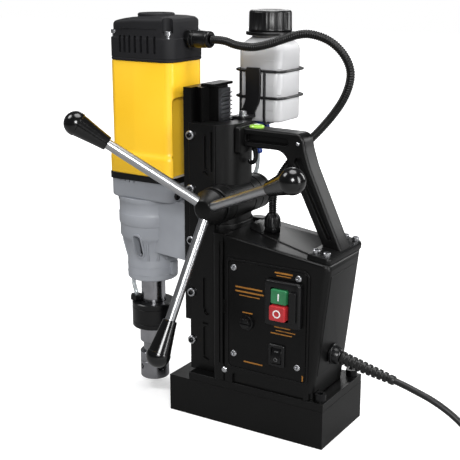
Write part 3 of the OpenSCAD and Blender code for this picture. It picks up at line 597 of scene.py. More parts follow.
def conduit():
    pitch, crest, root = 2.6, 4.7, 4.0

    def ridge(gone):
        return (crest + root) / 2 + (crest - root) / 2 * math.cos(2 * math.pi * gone / pitch)

    path = smooth(CONDUIT_ROUTE, pitch / 6)
    crossing_cord("conduit_hose", "conduit", tube(path, ridge, 20), "conduit_black")


def coolant_hose():
    path = smooth(TUBE_ROUTE, 3)
    crossing_cord("coolant_hose", "coolant_tube", tube(path, COOLANT_HOSE_R), "tube_clear")


def coil_tie():
    """The strap that holds the stored coil together."""
    x0, x1 = COIL_X - COIL_OUTER - 4.4, COIL_X - COIL_INNER + 4.6
    y0, y1 = COIL_Y - TIE_HALF, COIL_Y + TIE_HALF
    outer = rectangle(x0, x1, 0.05, TIE_TOP, 3)
    inner = rectangle(x0 + TIE_THICKNESS, x1 - TIE_THICKNESS, 0.45, TIE_TOP - TIE_THICKNESS, 2.6)
    strap = loft([in_y(outer, y0), in_y(outer, y1), in_y(inner, y1), in_y(inner, y0)], closed=True)
    return add("coil_tie", strap, "root", "cord_black")


conduit()
coolant_hose()
power_cord([frame["nodes"]["plug"], coil_tie()])

# ---------------------------------------------------------------- CAD nodes that keep their shape

ROUNDED = {"magnet_block": 0.7, "foot_plate": 0.5}
for part in frame["record"]["subparts"]:
    dress(part["node"], part["material_slot"], ROUNDED.get(part["node"], 0))

# ---------------------------------------------------------------- motor, cap and gearbox

NEAR, RIGHT = (0, -1, 0), (1, 0, 0)
SPINDLE_X = -158
SPINDLE = at(SPINDLE_X, 0, 0)
MOTOR_X = -146


def shell_outline(x0, x1, half, radius, bow):
    """A rounded rectangle whose long sides bow in towards -X."""
    middle = x0 + 0.42 * (x1 - x0)
    return fillet([(x0, -half + bow, radius), (middle, -half, 60), (x1, -half, radius), (x1, half, radius),
                   (middle, half, 60), (x0, half - bow, radius)], steps=7)


def stacked(levels, radius, bow, lean=0.0):
    """Lofts rounded outlines. Each level is z, x0, x1, half width and how far the middle is raised.

    lean lifts the +X end of the raised levels and lowers the other end.
    """
    rings = []
    for z, x0, x1, half, rise in levels:
        middle, reach = (x0 + x1) / 2, (x1 - x0) / 2
        rings.append([(p[0], p[1], z + rise * (1 - ((p[0] - middle) / reach) ** 2)
                       + (lean * (p[0] - middle) / 42 if rise else 0))
                      for p in shell_outline(x0, x1, half, min(radius, half * 0.6), bow)])
    return loft(rings)


def motor_cap():
    wall = stacked([
        (405, -191.2, -103.3, 34.2, 0), (405.8, -192, -102.5, 35, 0), (407.8, -192, -102.5, 35, 0),
        (408.4, -191.5, -103, 34.5, 0), (409, -192, -102.5, 35, 0), (429.6, -192, -102.5, 35, 0),
        (430.6, -191.7, -102.7, 34.9, 0), (431.4, -190, -104.2, 34.6, 0), (433, -189.5, -104.5, 34.5, 0),
        (446.5, -189.5, -104.5, 34.5, 1.6), (448.2, -189.2, -104.8, 34.2, 1.8),
        (449.6, -188.2, -105.6, 33.4, 1.9), (450.6, -186.4, -107, 32, 1.9), (452.4, -179, -113, 26, 1.5),
        (453.4, -172, -120, 20, 0.9),
    ], 12, 2.2, 1.9)
    hollow = stacked([(404, -186.5, -107, 30.5, 0), (433, -186.5, -107, 30.5, 0)], 8, 1.5)
    slots = joined(*(prism_y(rectangle(x - 1.6, x + 1.6, 414, 433.5, 1.3, 4), y0, y1)
                     for x in (-173 + 6.3 * i + 0.3 * i * i for i in range(7)) for y0, y1 in ((-60, -29),
                                                                                              (29, 60))))
    corners = joined(*(prism(circle(x, y, 6.2, 28), 437, 470)
                       for x, y in ((-184, -29), (-109.5, -30), (-184, 28), (-109.5, 28))))
    gland_hole = prism_x(circle(0, 430, 7), -112, -95)
    add("motor_cap", cut(wall, hollow, slots, corners, gland_hole), "carriage", "cap_grey", bevel=0.5)
    disc = lathe([(20.8, 452.8), (21.2, 455.4), (20.8, 456.6), (19.6, 457.4), (12, 457.4), (11.4, 456.8),
                  (0, 456.8)])
    add("motor_cap_crown", moved(disc, at(MOTOR_X, 0, 0)), "carriage", "cap_grey")
    for name, y in (("near", -34.6), ("far", 34.6)):
        seam = prism_y(rectangle(-180, -122, 441.2, 441.9, 0.3, 2), y - 0.3, y + 0.3)
        add(f"motor_cap_seam_{name}", seam, "carriage", "cap_grey")


def motor_housing():
    body = stacked([
        (275, -194.2, -102.8, 36.2, 0), (276, -195, -102, 37, 0), (294, -195, -102, 37, 0),
        (297, -194.6, -102.3, 36.7, 0), (299, -193.4, -103.2, 35.6, 0), (301.5, -192.2, -103.9, 34.4, 0),
        (304, -192, -104, 34, 0), (403.8, -192, -104, 34, 0), (405, -191.4, -104.6, 33.4, 0),
    ], 11, 2.2)
    pocket = prism_x(fillet([(-29, 270), (29, 270), (29, 366, 5), (-29, 366, 5)]), -109, -95)
    step = prism_x(fillet([(-31.5, 270), (31.5, 270), (31.5, 301, 3), (-31.5, 301, 3)]), -107, -95)
    add("motor_housing", cut(body, pocket, step), "carriage", "motor_yellow", bevel=0.9)


def gearbox_body():
    flange = stacked([
        (245.5, -191.5, -105.5, 33.5, 0), (246.5, -193, -104, 35, 0), (248.5, -194, -103, 36, 0),
        (272, -194, -103, 36, 0), (274, -193.6, -103.4, 35.6, 0), (275, -193.2, -103.8, 35.2, 0),
    ], 11, 1.6)
    cone = [(29.4, 144), (30.2, 145), (30.2, 168.4), (29.8, 169.4), (35, 192)]
    barrel = [(36.4, 195), (37.4, 196.6), (38, 198.6), (38, 211.6), (38.1, 212.2), (38.8, 212.8),
              (39.2, 213.6), (39.2, 225.6), (39, 226.2), (38.6, 227), (38.6, 239.8), (39, 240.4),
              (39.5, 241.2), (39.5, 246)]
    web = prism_y(fillet([(-150, 247), (-90, 247), (-90, 178.5, 3), (-136, 182)]), -26, 26)
    window = prism_y(rectangle(-158.2, -149, 175, 202, 4.55), -60, -20)
    comb = joined(*(prism_y(rectangle(x - 0.9, x + 0.9, low, 276, 0.6, 2), -40, -33.5)
                    for x, low in ((-182, 267), (-176, 266.4), (-169.5, 265.8), (-163, 265.2),
                                   (-156.5, 264.8))))
    crescent = prism_y(fillet([(-187, 276), (-184, 271, 2), (-152, 269.6, 3), (-140, 276)]), -40, -33.9)
    return cut(united(flange, moved(lathe([*cone, *barrel], 72), SPINDLE), web), window,
               moved(pin(24, 150, 233), SPINDLE), moved(pin(15.4, 143, 152), SPINDLE), comb, crescent)


def cone_rib(degrees):
    """A tapered rib up the gearbox's cone."""
    a = math.radians(degrees)
    out, side = Vector((math.cos(a), math.sin(a), 0)), Vector((-math.sin(a), math.cos(a), 0))
    rings = []
    for z, r, wide, high in ((169.5, 29.6, 2.4, 1.1), (180, 32, 1.9, 1.5), (191, 34.6, 1.6, 1.5),
                             (196, 36, 1.4, 0.5)):
        foot = Vector((SPINDLE_X, 0, z)) + out * (r - 0.6)
        rings.append([foot - side * wide, foot + side * wide, foot + side * wide * 0.5 + out * (high + 0.6),
                      foot - side * wide * 0.5 + out * (high + 0.6)])
    return loft(rings)


def on_cone(outline, depth):
    """An outline in X and Z laid on the near side of the gearbox's cone, sunk by a depth."""
    return [(x, depth - math.sqrt(max(0, (30.4 + (z - 171) * 0.27) ** 2 - (x - SPINDLE_X) ** 2)), z)
            for x, z in outline]


def gearbox():
    add("gearbox_housing", gearbox_body(), "carriage", "gearbox_grey", bevel=0.7, angle=38)
    ribs = joined(*(cone_rib(degrees) for degrees in (-152, -130, -64, -42, -20, 160, 120, 90, 60)))
    add("gearbox_ribs", ribs, "carriage", "gearbox_grey", bevel=0.4)
    outer = rectangle(-160.6, -146.6, 172.6, 204.4, 6.8)
    inner = rectangle(-158.3, -148.9, 175, 202, 4.6)
    rim = loft([on_cone(outer, 1.5), on_cone(outer, -0.9), on_cone(inner, -0.9), on_cone(inner, 1.5)],
               closed=True)
    add("gearbox_window_rim", rim, "carriage", "gearbox_grey", bevel=0.3)
    plug = lathe([(0, 0), (4.6, 0), (4.6, 1.6), (4, 2.3), (2.2, 2.3), (1.9, 1.5), (0, 1.5)], 32)
    plastic("gearbox_plug", moved(plug, towards((-103.4, -26, 254), RIGHT)), body="carriage")
    for z in (151, 160):
        ring = ring_of([(29.9, z - 0.5), (30.6, z - 0.3), (30.6, z + 0.3), (29.9, z + 0.5)], 72)
        add(f"gearbox_neck_ring_{z}", moved(ring, SPINDLE), "carriage", "gearbox_grey")
    add("gearbox_lug", prism(rectangle(-131, -124.5, -6, 6, 1.5), 150, 166), "carriage", "gearbox_grey",
        bevel=0.8)


motor_cap()
motor_housing()
gearbox()

# ---------------------------------------------------------------- spindle, hub, spokes and grips

ELBOW_X, ELBOW_Y = -176, -11


def spindle():
    profile = [(0, 259.5), (10, 259.5), (10, 172), (12, 171.6), (12, 147), (14.7, 146.6), (14.7, 79.8),
               (16.8, 79.8), (17.4, 79.2), (17.4, 60.6), (16.8, 60), (13.8, 60), (13.6, 59.6), (13.6, 47.4),
               (13.9, 47), (16.8, 47), (17.65, 46), (17.65, 35.4), (17.3, 35), (17.3, 34.2), (17.65, 33.8),
               (17.65, 14), (16.8, 13), (10.4, 13), (9.54, 13.9), (9.54, 60), (0, 61.5)]
    holes = joined(*(moved(pin(3.5, 8, 30, 28), at(SPINDLE_X, 0, 27) @ rotation(a, "Z") @ rotation(90, "Y"))
                     for a in (-118, -28)))
    add("spindle", cut(moved(lathe(profile, 72), SPINDLE), holes), "spindle_turning", "spindle_steel",
        bevel=0.25)


def coolant_ring():
    profile = [(15.1, 80.2), (25.4, 80.2), (26.3, 81.2), (26.3, 86), (25.7, 86.4), (25.7, 87.2), (26.3, 87.6),
               (26.3, 104.6), (25.7, 105), (25.7, 105.8), (26.3, 106.2), (26.3, 110.8), (25.2, 112),
               (15.8, 112), (15.1, 111.2)]
    plastic("coolant_ring", moved(ring_of(profile, 72), SPINDLE), body="carriage")
    elbow = lathe([(0, 97), (3.4, 97), (3.4, 112), (5, 112), (5.3, 112.6), (5.3, 114.4), (4.4, 115),
                   (4.4, 116.4), (3.6, 117), (0, 117)], 32)
    collar = lathe([(0, 0), (7, 0), (7.6, 0.6), (7.6, 6), (7, 6.6), (0, 6.6)], 6)
    plastic("ring_elbow", moved(elbow, at(ELBOW_X, ELBOW_Y, 0)), body="carriage")
    plastic("ring_elbow_nut", moved(collar, at(ELBOW_X, ELBOW_Y, 112.2)), body="carriage", bevel=0.4)


HUB_PLACE = (-39.5, 0, 255)
HUB_AXIS = at(*HUB_PLACE) @ rotation(90, "X")
SPOKE_LEAN, FIRST_SPOKE, SPOKE_R = 25, 22.8, 5.7
GRIP_START, GRIP_END = 128, 181
PINION_TEETH = 16


def along_spoke(k):
    return (at(HUB_PLACE[0], -58.5, HUB_PLACE[2]) @ rotation(-FIRST_SPOKE - 120 * k, "Y")
            @ rotation(-SPOKE_LEAN, "Z") @ rotation(90, "Y"))


def feed_wheel():
    nose = lathe([(0, 70), (9.2, 70), (10, 69.6), (10.8, 68.8), (20, 57), (20.2, 56.2), (20.2, 52.6),
                  (19.4, 51.4), (18.6, 50.8), (0, 50.8)], 64)
    sockets = joined(*(moved(pin(SPOKE_R + 0.25, 9.5, 50), along_spoke(k)) for k in range(3)))
    add("feed_hub", cut(moved(nose, HUB_AXIS), sockets), "feed_wheel", "black_casting", bevel=0.4)
    gear = []
    for i in range(PINION_TEETH):
        for share, r in ((-0.26, 10.35), (-0.09, 13.05), (0.09, 13.05), (0.26, 10.35)):
            a = 2 * math.pi * (i + 0.5 + share) / PINION_TEETH
            gear.append((r * math.cos(a), r * math.sin(a)))
    pinion = joined(rod((0, 0, 9), (0, 0, -48), 8), rod((0, 0, 51), (0, 0, 9), 8), prism(gear, -9, 9))
    add("feed_pinion", moved(pinion, HUB_AXIS), "feed_wheel", "plain_steel", ["feed_shaft"])
    bar = lathe([(0, 9.2), (SPOKE_R, 9.2), (SPOKE_R, 150), (SPOKE_R - 0.6, 150.6), (0, 150.6)], 40)
    grip = lathe([(0, GRIP_START), (7.2, GRIP_START), (7.9, GRIP_START + 0.6), (8.2, GRIP_START + 3),
                  *((8.2 + 4.3 * (t / 10) ** 1.1, GRIP_START + 3 + 3.3 * t) for t in range(1, 11)),
                  *arc(0, GRIP_END - 13.4, 13.4, -14, 90, 18)[:-1], (0, GRIP_END)], 56)
    for k in range(3):
        add(f"spoke_{k}", moved(bar, along_spoke(k)), "feed_wheel", "chrome", ["spokes"] if k == 0 else ())
        add(f"grip_{k}", moved(grip, along_spoke(k)), "feed_wheel", "grip_black", ["grips"] if k == 0 else ())


spindle()
coolant_ring()
feed_wheel()

# ---------------------------------------------------------------- column and pinion housing

GIB_HEIGHTS = (88.5, 146.6, 208.4, 268, 328.8)


def column():
    low, high = 53, 342
    outline = [(-79, -36.4), (-78.4, -37), (-45.6, -37), (-45, -36.4), *arc(-58, -7, 30, -64, 0, 10),
               *arc(-58, 7, 30, 0, 90, 14), (-79, 37)]
    dovetail = prism([(-80, -22), (-68, -29), (-68, 29), (-80, 22)], low + 6, high + 5)
    channel = prism(rectangle(-69, -46.5, -12, 12), low + 6, high + 5)

    def sunk(outline, depth=1.8):
        return prism_y(outline, -40, -37 + depth)

    marks = [
        joined(sunk(rectangle(-58.3, -55.1, 292, 330, 1.5, 4)), sunk(rectangle(-50, -47.4, 290, 335, 1.2, 4)),
               sunk(rectangle(-62, -54, 110.6, 113.4, 1.2, 4))),
        joined(sunk(fillet([(-61, 289), (-52.5, 284.5), (-52.5, 293.5)], 1)),
               sunk(rectangle(-61, -55.7, 128, 167, 2.4, 5))),
        joined(sunk(rectangle(-61, -55.5, 71, 108, 2.4, 5)), sunk(circle(-56, 126, 4.2, 24), 2.6)),
        sunk(fillet([(-63, 70), (-53, 66), (-53, 74)], 1)),
    ]
    seats = [prism_y(circle(-76, z, 5.6, 28), -40, -36.4) for z in GIB_HEIGHTS]
    casting("column", cut(prism(outline, low, high), dovetail, channel,
                          moved(pin(20.5, -60, 60, 48), HUB_AXIS),
                          *marks, *seats), bevel=0.6)
    nut = ring_of([(2.6, 0), (4.6, 0), (5, 0.5), (5, 3.1), (4.4, 3.9), (3, 3.9), (2.6, 3.5)], 28)
    screw = lathe([(0, -6), (2.45, -6), (2.45, 5.4), (2, 5.9), (0, 5.9)], 24)
    for z in GIB_HEIGHTS:
        seat = towards((-76, -36.4, z), NEAR)
        add(f"gib_nut_{int(z)}", moved(nut, seat), "root", "zinc_screws", ["gib_screws"] if z == 88.5 else ())
        add(f"gib_screw_{int(z)}", cut(moved(screw, seat), moved(pin(1.5, 3, 8, 6), seat)), "root",
            "black_screws")


def pinion_housing():
    profile = [(0, -49), (16.4, -49), (17, -48.4), (17, -46.6), (20.2, -46), (21, -45.2)]
    for h in (-40, -26, -10):
        profile += [(21, h - 1.1), (20.1, h - 0.8), (20.1, h + 0.8), (21, h + 1.1)]
    profile += [(21, 30), (20.4, 30.6), (20.4, 32), (21, 32.6), (21, 48), (20.2, 49.2), (13, 49.5),
                (12.4, 48.6), (0, 48.6)]
    channel = prism(rectangle(-72, -46.5, -12, 12), 220, 300)
    casting("pinion_housing", cut(moved(lathe(profile, 72), HUB_AXIS), channel,
                                  moved(pin(12.4, -60, 60), HUB_AXIS)),
            bevel=0.35)
    collar = [*arc(-58, -7, 32, -60, 0, 12), *arc(-58, 7, 32, 0, 60, 12)]
    casting("pinion_collar", prism(collar, 222, 230), bevel=1)


column()
pinion_housing()

# ---------------------------------------------------------------- control box and its panel

BOX_OUTLINE = [(-40, 53, 0), (85, 53, 3), (88, 73, 6), (103.5, 203, 3), (102.5, 207.5, 3), (100, 209, 3),
               (-26, 224.7, 3), (-40, 226, 0)]
BOX_LEAN_X, BOX_LEAN_Z = 15.5, 130
ROOF_SLOPE = math.atan2(15.7, 126)
BUTTON_X = 49.5
FUSE_PLACE = (6.5, -51.4, 130)


def squeezed(outline, left, right, low, high):
    """The outline with each side pulled in by its own amount."""
    xs, zs = [p[0] for p in outline], [p[1] for p in outline]
    wide, tall = max(xs) - min(xs), max(zs) - min(zs)
    return [(min(xs) + left + (p[0] - min(xs)) * (wide - left - right) / wide,
             min(zs) + low + (p[1] - min(zs)) * (tall - low - high) / tall) for p in outline]


def box_body():
    outline = fillet(BOX_OUTLINE, steps=5)
    body = loft([in_y(squeezed(outline, 0, right, 0, high), y) for y, right, high in (
        (-50, 6.5, 1.8), (-49.6, 4.4, 0.9), (-48.6, 2.5, 0.3), (-46.6, 0.9, 0), (-44, 0.2, 0), (-42, 0, 0),
        (40, 0, 0), (43.4, 0.8, 0.1), (45.2, 2.2, 0.6), (46, 4, 1.4))])
    body = cut(
        body, prism(rectangle(-80, -25.6, -60, 60), 40, 240),
        joined(*(prism(circle(x, y, 9.6, 32), 50, 62) for x,
                 y in ((-33, -40), (92, -40), (-33, 40), (92, 40)))),
        joined(block((82.4, 101.6), (-70, -40), (50, 62)), block((82.4, 101.6), (40, 70), (50, 62))),
        prism_y(fillet([(-14, 50), (76, 50), (76, 66, 4), (-14, 66, 4)]), -60, -47.4),
        prism_y(rectangle(-10, 70, 82, 190, 2), -60, -44),
        prism_x(circle(-14, 99, 7), 70, 120),
    )
    plan = fillet([(-80, -60), (88.4, -60), (88.4, 46.2, 30), (-80, 46.2)], steps=16)
    leaning = loft([[(p[0] + BOX_LEAN_X / BOX_LEAN_Z * (z - 73), p[1], z) for p in plan] for z in (40, 240)])
    return cut(body, leaning, keep="INTERSECT")


def control_box():
    casting("control_box", box_body(), bevel=0.8)
    for k, (y0, y1, bolt_y) in enumerate(((-50, -33, -40), (33, 46, 40))):
        cheek = prism(fillet([(-40, y0, 4), (-24, y0, 0), (-24, y1, 0), (-40, y1, 6)]), 53, 225.6)
        casting(f"control_box_cheek_{k}", cut(cheek, moved(pin(9.6, 40, 62), at(-33, bolt_y, 0))), bevel=0.8)
    for name, x in (("a", -31.3), ("b", -26.7)):
        rib = fillet([(x - 1, -49.5), (x - 0.5, -51.3), (x + 0.5, -51.3), (x + 1, -49.5)], 0.3, 2)
        casting(f"control_box_rib_{name}", prism(rib, 74, 216))
    casting("control_box_slot", loft([in_y(rectangle(-25.2 - g, -23.2 + g, 136 - g, 149 + g, 1, 3), y)
                                      for y, g in ((-49.5, 0.8), (-50.7, 0.8), (-50.7, 0), (-49.9, 0))]))
    outer = fillet([(-20.6, 71.4, 5), (81.6, 71.4, 5), (82.4, 200.4, 9), (-20.6, 200.4, 3)], steps=8)
    inner = fillet([(-18.1, 73.9, 4.2), (79.1, 73.9, 4.2), (79.9, 197.9, 7), (-18.1, 197.9, 2.5)], steps=8)
    rim = loft([in_y(outer, -49.6), in_y(outer, -51.6), in_y(inner, -51.6), in_y(inner, -49.6)], closed=True)
    casting("panel_rim", rim, bevel=0.45)
    small = lathe([(0, 0), (3.4, 0), (3.4, 1.1), (2.6, 1.9), (0, 2.1)], 28)
    add("box_pin", moved(small, towards((-24, -50, 67), NEAR)), "root", "zinc_screws")
    add("panel_tick", prism_y(rectangle(75, 76.2, 75.5, 82, 0.5, 3), -51.9, -51.3), "root", "mark_amber")


def roof_ridge():
    """The roof's raised middle, which the handle's foot stands on."""
    plate = loft([in_z(fillet([(8, -10 + g, 10), (120 - g, -39 + g, 9), (120 - g, 34 - g, 9),
                               (8, 30 - g, 10)]), z)
                  for z, g in ((-0.4, 0), (0.6, 0), (1.5, 1.2))])
    casting("roof_plate", moved(plate, at(-26, 0, 224.4) @ Matrix.Rotation(ROOF_SLOPE, 4, "Y")), bevel=0.3)


def rear_wall():
    """The rear cover: a plate set flush in the rear wall."""
    plate = cut(prism(rectangle(-1, 0.5, -43, 14, 0.6), 8, 124), prism_x(circle(-14, 26, 12.2, 36), -9, 9))
    tilt = Matrix.Rotation(math.atan2(BOX_LEAN_X, BOX_LEAN_Z), 4, "Y")
    add("rear_cover", moved(plate, at(88, 0, 73) @ tilt), "root", "rear_grey", bevel=0.25)


def panel_screw(k, x, z):
    r, y, groove = 3.6, -51.3, 0.42
    head = lathe([(0, -1), (r, -1), (r, 0.9), (r * 0.86, 1.6), (r * 0.5, 2.1), (0, 2.3)], 36)
    cross = joined(block((-r * 0.55, r * 0.55), (-groove, groove), (0.8, 4)),
                   block((-groove, groove), (-r * 0.55, -0.44), (0.8, 4)),
                   block((-groove, groove), (0.44, r * 0.55), (0.8, 4)))
    add(f"panel_screw_{k}", moved(cut(head, cross), towards((x, y, z), NEAR)), "root", "zinc_screws",
        ["panel_screws"] if k == 0 else ())


def panel():
    plate = prism_y(rectangle(-17.5, 78.5, 74.5, 197.5, 4, 8), -51.5, -50)
    holes = joined(prism_y(rectangle(34, 70, 138, 182), -60, -40),
                   prism_y(rectangle(36.5, 51.5, 88.5, 109.5), -60, -40),
                   prism_y(circle(FUSE_PLACE[0], FUSE_PLACE[2], 6.1), -60, -40))
    add("panel_plate", cut(plate, holes), "root", "panel_black", bevel=0.3)
    for k, (x, z) in enumerate(((-11, 190.5), (69, 190.5), (-11, 90), (69, 90))):
        panel_screw(k, x, z)
    bars = [(40, 62, 192.4, 194.2), (42, 60, 189.6, 190.6), (-9, 25, 168.4, 170.2), (-9, 27, 163.6, 165.4),
            (-4, 22, 159.6, 160.6), (0, 13, 140.2, 141.6), (40, 60, 131.2, 132.6), (42, 66, 127.4, 128.4),
            (36, 62, 123.6, 124.8), (2, 26, 82.4, 84)]
    for k, bar in enumerate(bars):
        add(f"panel_bar_{k}", prism_y(rectangle(*bar, 0.4, 3), -51.62, -51.4), "root", "mark_amber")


def switch():
    outline = rectangle(30.4, 74, 134.4, 186, 3.4, 6)
    bezel = loft([in_y(squeezed(outline, g, g, g, g), y)
                  for y, g in ((-51.4, 0), (-55.6, 0), (-57.4, 1.2), (-57.8, 2.4))])
    well = prism_y(rectangle(38.6, 60.4, 141.6, 178.4, 1.6), -60, -49)
    plastic("switch_bezel", cut(bezel, well), ["switch_block"], bevel=0.35)
    pits = joined(*(prism_y(circle(BUTTON_X, z, 3.3), -52, -40) for z in (169, 151.25)))
    plastic("switch_body", cut(prism_y(rectangle(35, 69, 139, 181), -50.6, -22), pits))
    plastic("switch_latch", prism_y(rectangle(62.4, 70.6, 143, 177, 1.4), -61.5, -57), bevel=0.8)
    for name, low, high, face, finish in (("green_button", 161, 177, -60.5, "button_green"),
                                          ("red_button", 143, 159.5, -64, "button_red")):
        cap = loft([in_y(rectangle(40 + g, 59 - g, low + g, high - g, 1.6, 5), y)
                    for y, g in ((-53.5, 0), (face + 1.1, 0), (face + 0.3, 0.4), (face, 1.2),
                                 (face + 0.35, 3.2))])
        stem = prism_y(circle(BUTTON_X, (low + high) / 2, 3), -53.6, -44)
        add(name, joined(cap, stem), name, finish)
    add("mark_on", prism_y(rectangle(48.9, 50.3, 165, 173, 0.4, 2), -60.7, -60), "green_button", "mark_white")
    zero = ring_of([(3.2, 0), (4.5, 0), (4.5, 0.5), (3.2, 0.5)], 40)
    add("mark_off", moved(zero, towards((BUTTON_X, -63.55, 151.25), NEAR)), "red_button", "mark_white")


def rocker():
    outline = rectangle(34.2, 53.8, 86.2, 111.8, 1.8, 5)
    plastic("rocker_frame", loft([in_y(squeezed(outline, g, g, g, g), y) for y, g in (
        (-51.4, 0), (-53, 0), (-53.8, 0.9), (-53.8, 3.2), (-50, 3.4))]))
    plastic("rocker_body", prism_y(rectangle(36.8, 51.2, 88.8, 109.2), -50.2, -30))
    side = [(-49.8, 90.8), (-55.2, 90.8), (-55.5, 92), (-53.9, 99), (-52.2, 106), (-51.2, 107.2),
            (-49.8, 107.2)]
    plastic("rocker", prism_x(side, 38, 50), body="rocker", bevel=0.5)
    dash = prism_y([(41.5, 103.1), (46.5, 103.1), (46.5, 104.3), (41.5, 104.3)], -53.3, -52.6)
    add("mark_rocker_on", dash, "rocker", "mark_grey")
    ring = ring_of([(1.5, 0), (2.3, 0), (2.3, 0.5), (1.5, 0.5)], 28)
    add("mark_rocker_off", moved(ring, towards((44, -54.75, 95), NEAR)), "rocker", "mark_grey")


def fuse():
    place = towards(FUSE_PLACE, NEAR)
    collar = ring_of([(4.3, -20), (6, -20), (6, 0), (8.4, 0), (8.5, 1.6), (7.9, 2.8), (6.9, 3.1), (4.3, 3)],
                     48)
    plastic("fuse_holder", moved(collar, place))
    outline = wheel([6.3 - (0.35 if k % 4 == 0 else 0) for k in range(72)])
    knob = loft([[(x * g, y * g, h) for x, y in outline]
                 for h, g in ((3.2, 0.97), (3.6, 1), (6.6, 0.97), (7.2, 0.9), (7.4, 0.8))])
    groove = block((-8, 8), (-0.7, 0.7), (6, 12))
    plastic("fuse_cap", moved(joined(cut(knob, groove), pin(4, -13, 3.3)), place), body="fuse_cap")


control_box()
roof_ridge()
rear_wall()
panel()
switch()
rocker()
fuse()

# ---------------------------------------------------------------- handle, level and bracket

LEVEL = at(-13, 0, 0)


def handle_outline(g):
    """The handle's loop in X and Z, pulled in all round by g."""
    return [(-28, 338 - g), (38, 336.9 - g), *arc(41, 326.3, 10.5 - g, 88, 4, 8), (53.3 - g, 318.5),
            (59.2 - g, 300.8), (88 - g, 238.2), (100.6 - g, 211), (101 - g, 208), (77.5 + g, 208),
            (77.8 + g, 214),
            *arc(16.5, 300.5, 16 + g, 26, 90, 8), (-28, 316.5 + g)]


def handle():
    edge = ((9, 0), (10, 0.1), (11.4, 0.6), (12.2, 1.4), (12.5, 2.4))
    loop = loft([in_y(handle_outline(g), y) for y, g in [(-y, g) for y, g in reversed(edge)] + list(edge)])
    pockets = [joined(prism_y(fillet([(-20, 332), (33, 331, 4), (33.5, 322.4, 4), (-20, 322.6)], 2.5), y0,
                              y1),
                      prism_y(fillet([(42, 311), (48.5, 311), (54, 300, 0), (88, 226), (81.5, 226),
                                      (40, 306)], 2.5),
                              y0, y1)) for y0, y1 in ((-20, -6), (6, 20))]
    roof = prism_y([(-40, 226), (-26, 224.7), (100, 209), (110, 207), (110, 190), (-40, 190)], -60, 60)
    casting("handle", cut(loop, *pockets, moved(pin(8.6, 334, 345, 40), LEVEL), roof), bevel=0.5)
    casting("handle_pad", loft([in_x(rectangle(-20 + g, 20 - g, 309 + g, 340 - g, 4, 5), x)
                                for x, g in ((-28.6, 0), (-24, 0), (-23, 0.5), (-22.6, 1.4))]))
    slope = Matrix.Rotation(ROOF_SLOPE, 4, "Y")
    outline = fillet([(-26, -46, 4), (1.5, -46, 5), (2.5, 42, 29), (-26, 42, 4), (-28, 15, 8),
                      (-28, -17, 8)], steps=5)
    foot = loft([[(p[0] + (g if p[0] < -12 else -g), p[1] + (g if p[1] < 0 else -g), z) for p in outline]
                 for z, g in ((0.2, 0), (4.6, 0), (5.7, 0.5), (6.2, 1.5))])
    casting("handle_foot", moved(foot, at(100, 0, 209) @ slope))
    head = cut(lathe([(0, 0), (3.8, 0), (3.9, 0.4), (3.9, 4.2), (3.4, 4.8), (0, 4.8)], 32),
               pin(2.3, 2.4, 9, 6))
    boss = lathe([(0, -1.4), (6, -1.4), (6, 0), (5.4, 0.6), (0, 0.6)], 36)
    for k, (x, y) in enumerate(((94, -38), (82, -38), (94, 34), (82, 34))):
        place = at(x, y, 217 - 0.125 * (x - 82)) @ slope
        add(f"handle_bolt_{k}", moved(head, place), "root", "zinc_screws", ["handle_bolts"] if k == 0 else ())
        casting(f"handle_boss_{k}", moved(boss, place))
    dot = lathe([(0, -1), (2, -1), (2, 0.7), (1.2, 1.3), (0, 1.4)], 24)
    add("handle_pin", moved(dot, towards((44.5, -12.4, 326), NEAR)), "root", "zinc_screws")
    hook = smooth([(-20, 4, 318), (-17, 4, 309), (-17, 4, 301), (-20, 4, 297), (-23.5, 4, 297),
                   (-25, 4, 300)], 1.5)
    plastic("handle_hook", tube(hook, lambda gone: 3.2 - 0.03 * gone, 14), angle=60)


def spirit_level():
    vial = lathe([(0, 334.2), (8.3, 334.2), (8.3, 339), (7.6, 339.9), (5, 340.6), (2, 340.9), (0, 341)], 48)
    add("level_vial", moved(vial, LEVEL), "root", "level_green", ["spirit_level"])
    mark = ring_of([(2.7, 340.5), (3.1, 340.5), (3.1, 341), (2.7, 341.05)], 40)
    add("level_ring", moved(mark, LEVEL), "root", "mark_white")


def bracket():
    rise = [(-56, -38, 342), (-56, -38, 343), (-56, -38, 347), (-54, -36, 352), (-51, -33, 358),
            (-50, -31.5, 364), (-50, -31, 372), (-50, -31, 395), (-48.5, -32.5, 398)]
    strap = loft([[(a, 37, z), (b, 37, z), (b, 40, z), (a, 40, z)] for a, b, z in rise])
    foot = cut(prism(fillet([(-56, 14, 4), (-38, 14, 4), (-38, 40, 0), (-56, 40, 0)]), 342, 345),
               moved(pin(2.9, 340, 350), at(-44, 22, 0)))
    add("bottle_bracket", joined(strap, foot), "root", "strap_grey", bevel=0.5)
    bolt = cut(lathe([(0, 0), (4.6, 0), (4.6, 4), (4.1, 4.6), (0, 4.6)], 32), pin(2.3, 2.2, 8, 6))
    washer = lathe([(0, -0.9), (6, -0.9), (6, -0.1), (0, -0.1)], 32)
    add("bracket_bolt", moved(bolt, at(-44, 22, 345.9)), "root", "zinc_screws")
    add("bracket_washer", moved(washer, at(-44, 22, 346)), "root", "zinc_screws")


handle()
spirit_level()
bracket()

# ---------------------------------------------------------------- bottle, cage and valve

BOTTLE_X, BOTTLE_Y = -37, 70.5
VALVE = at(-52, 70, 0)
WIRE_R = 1.6


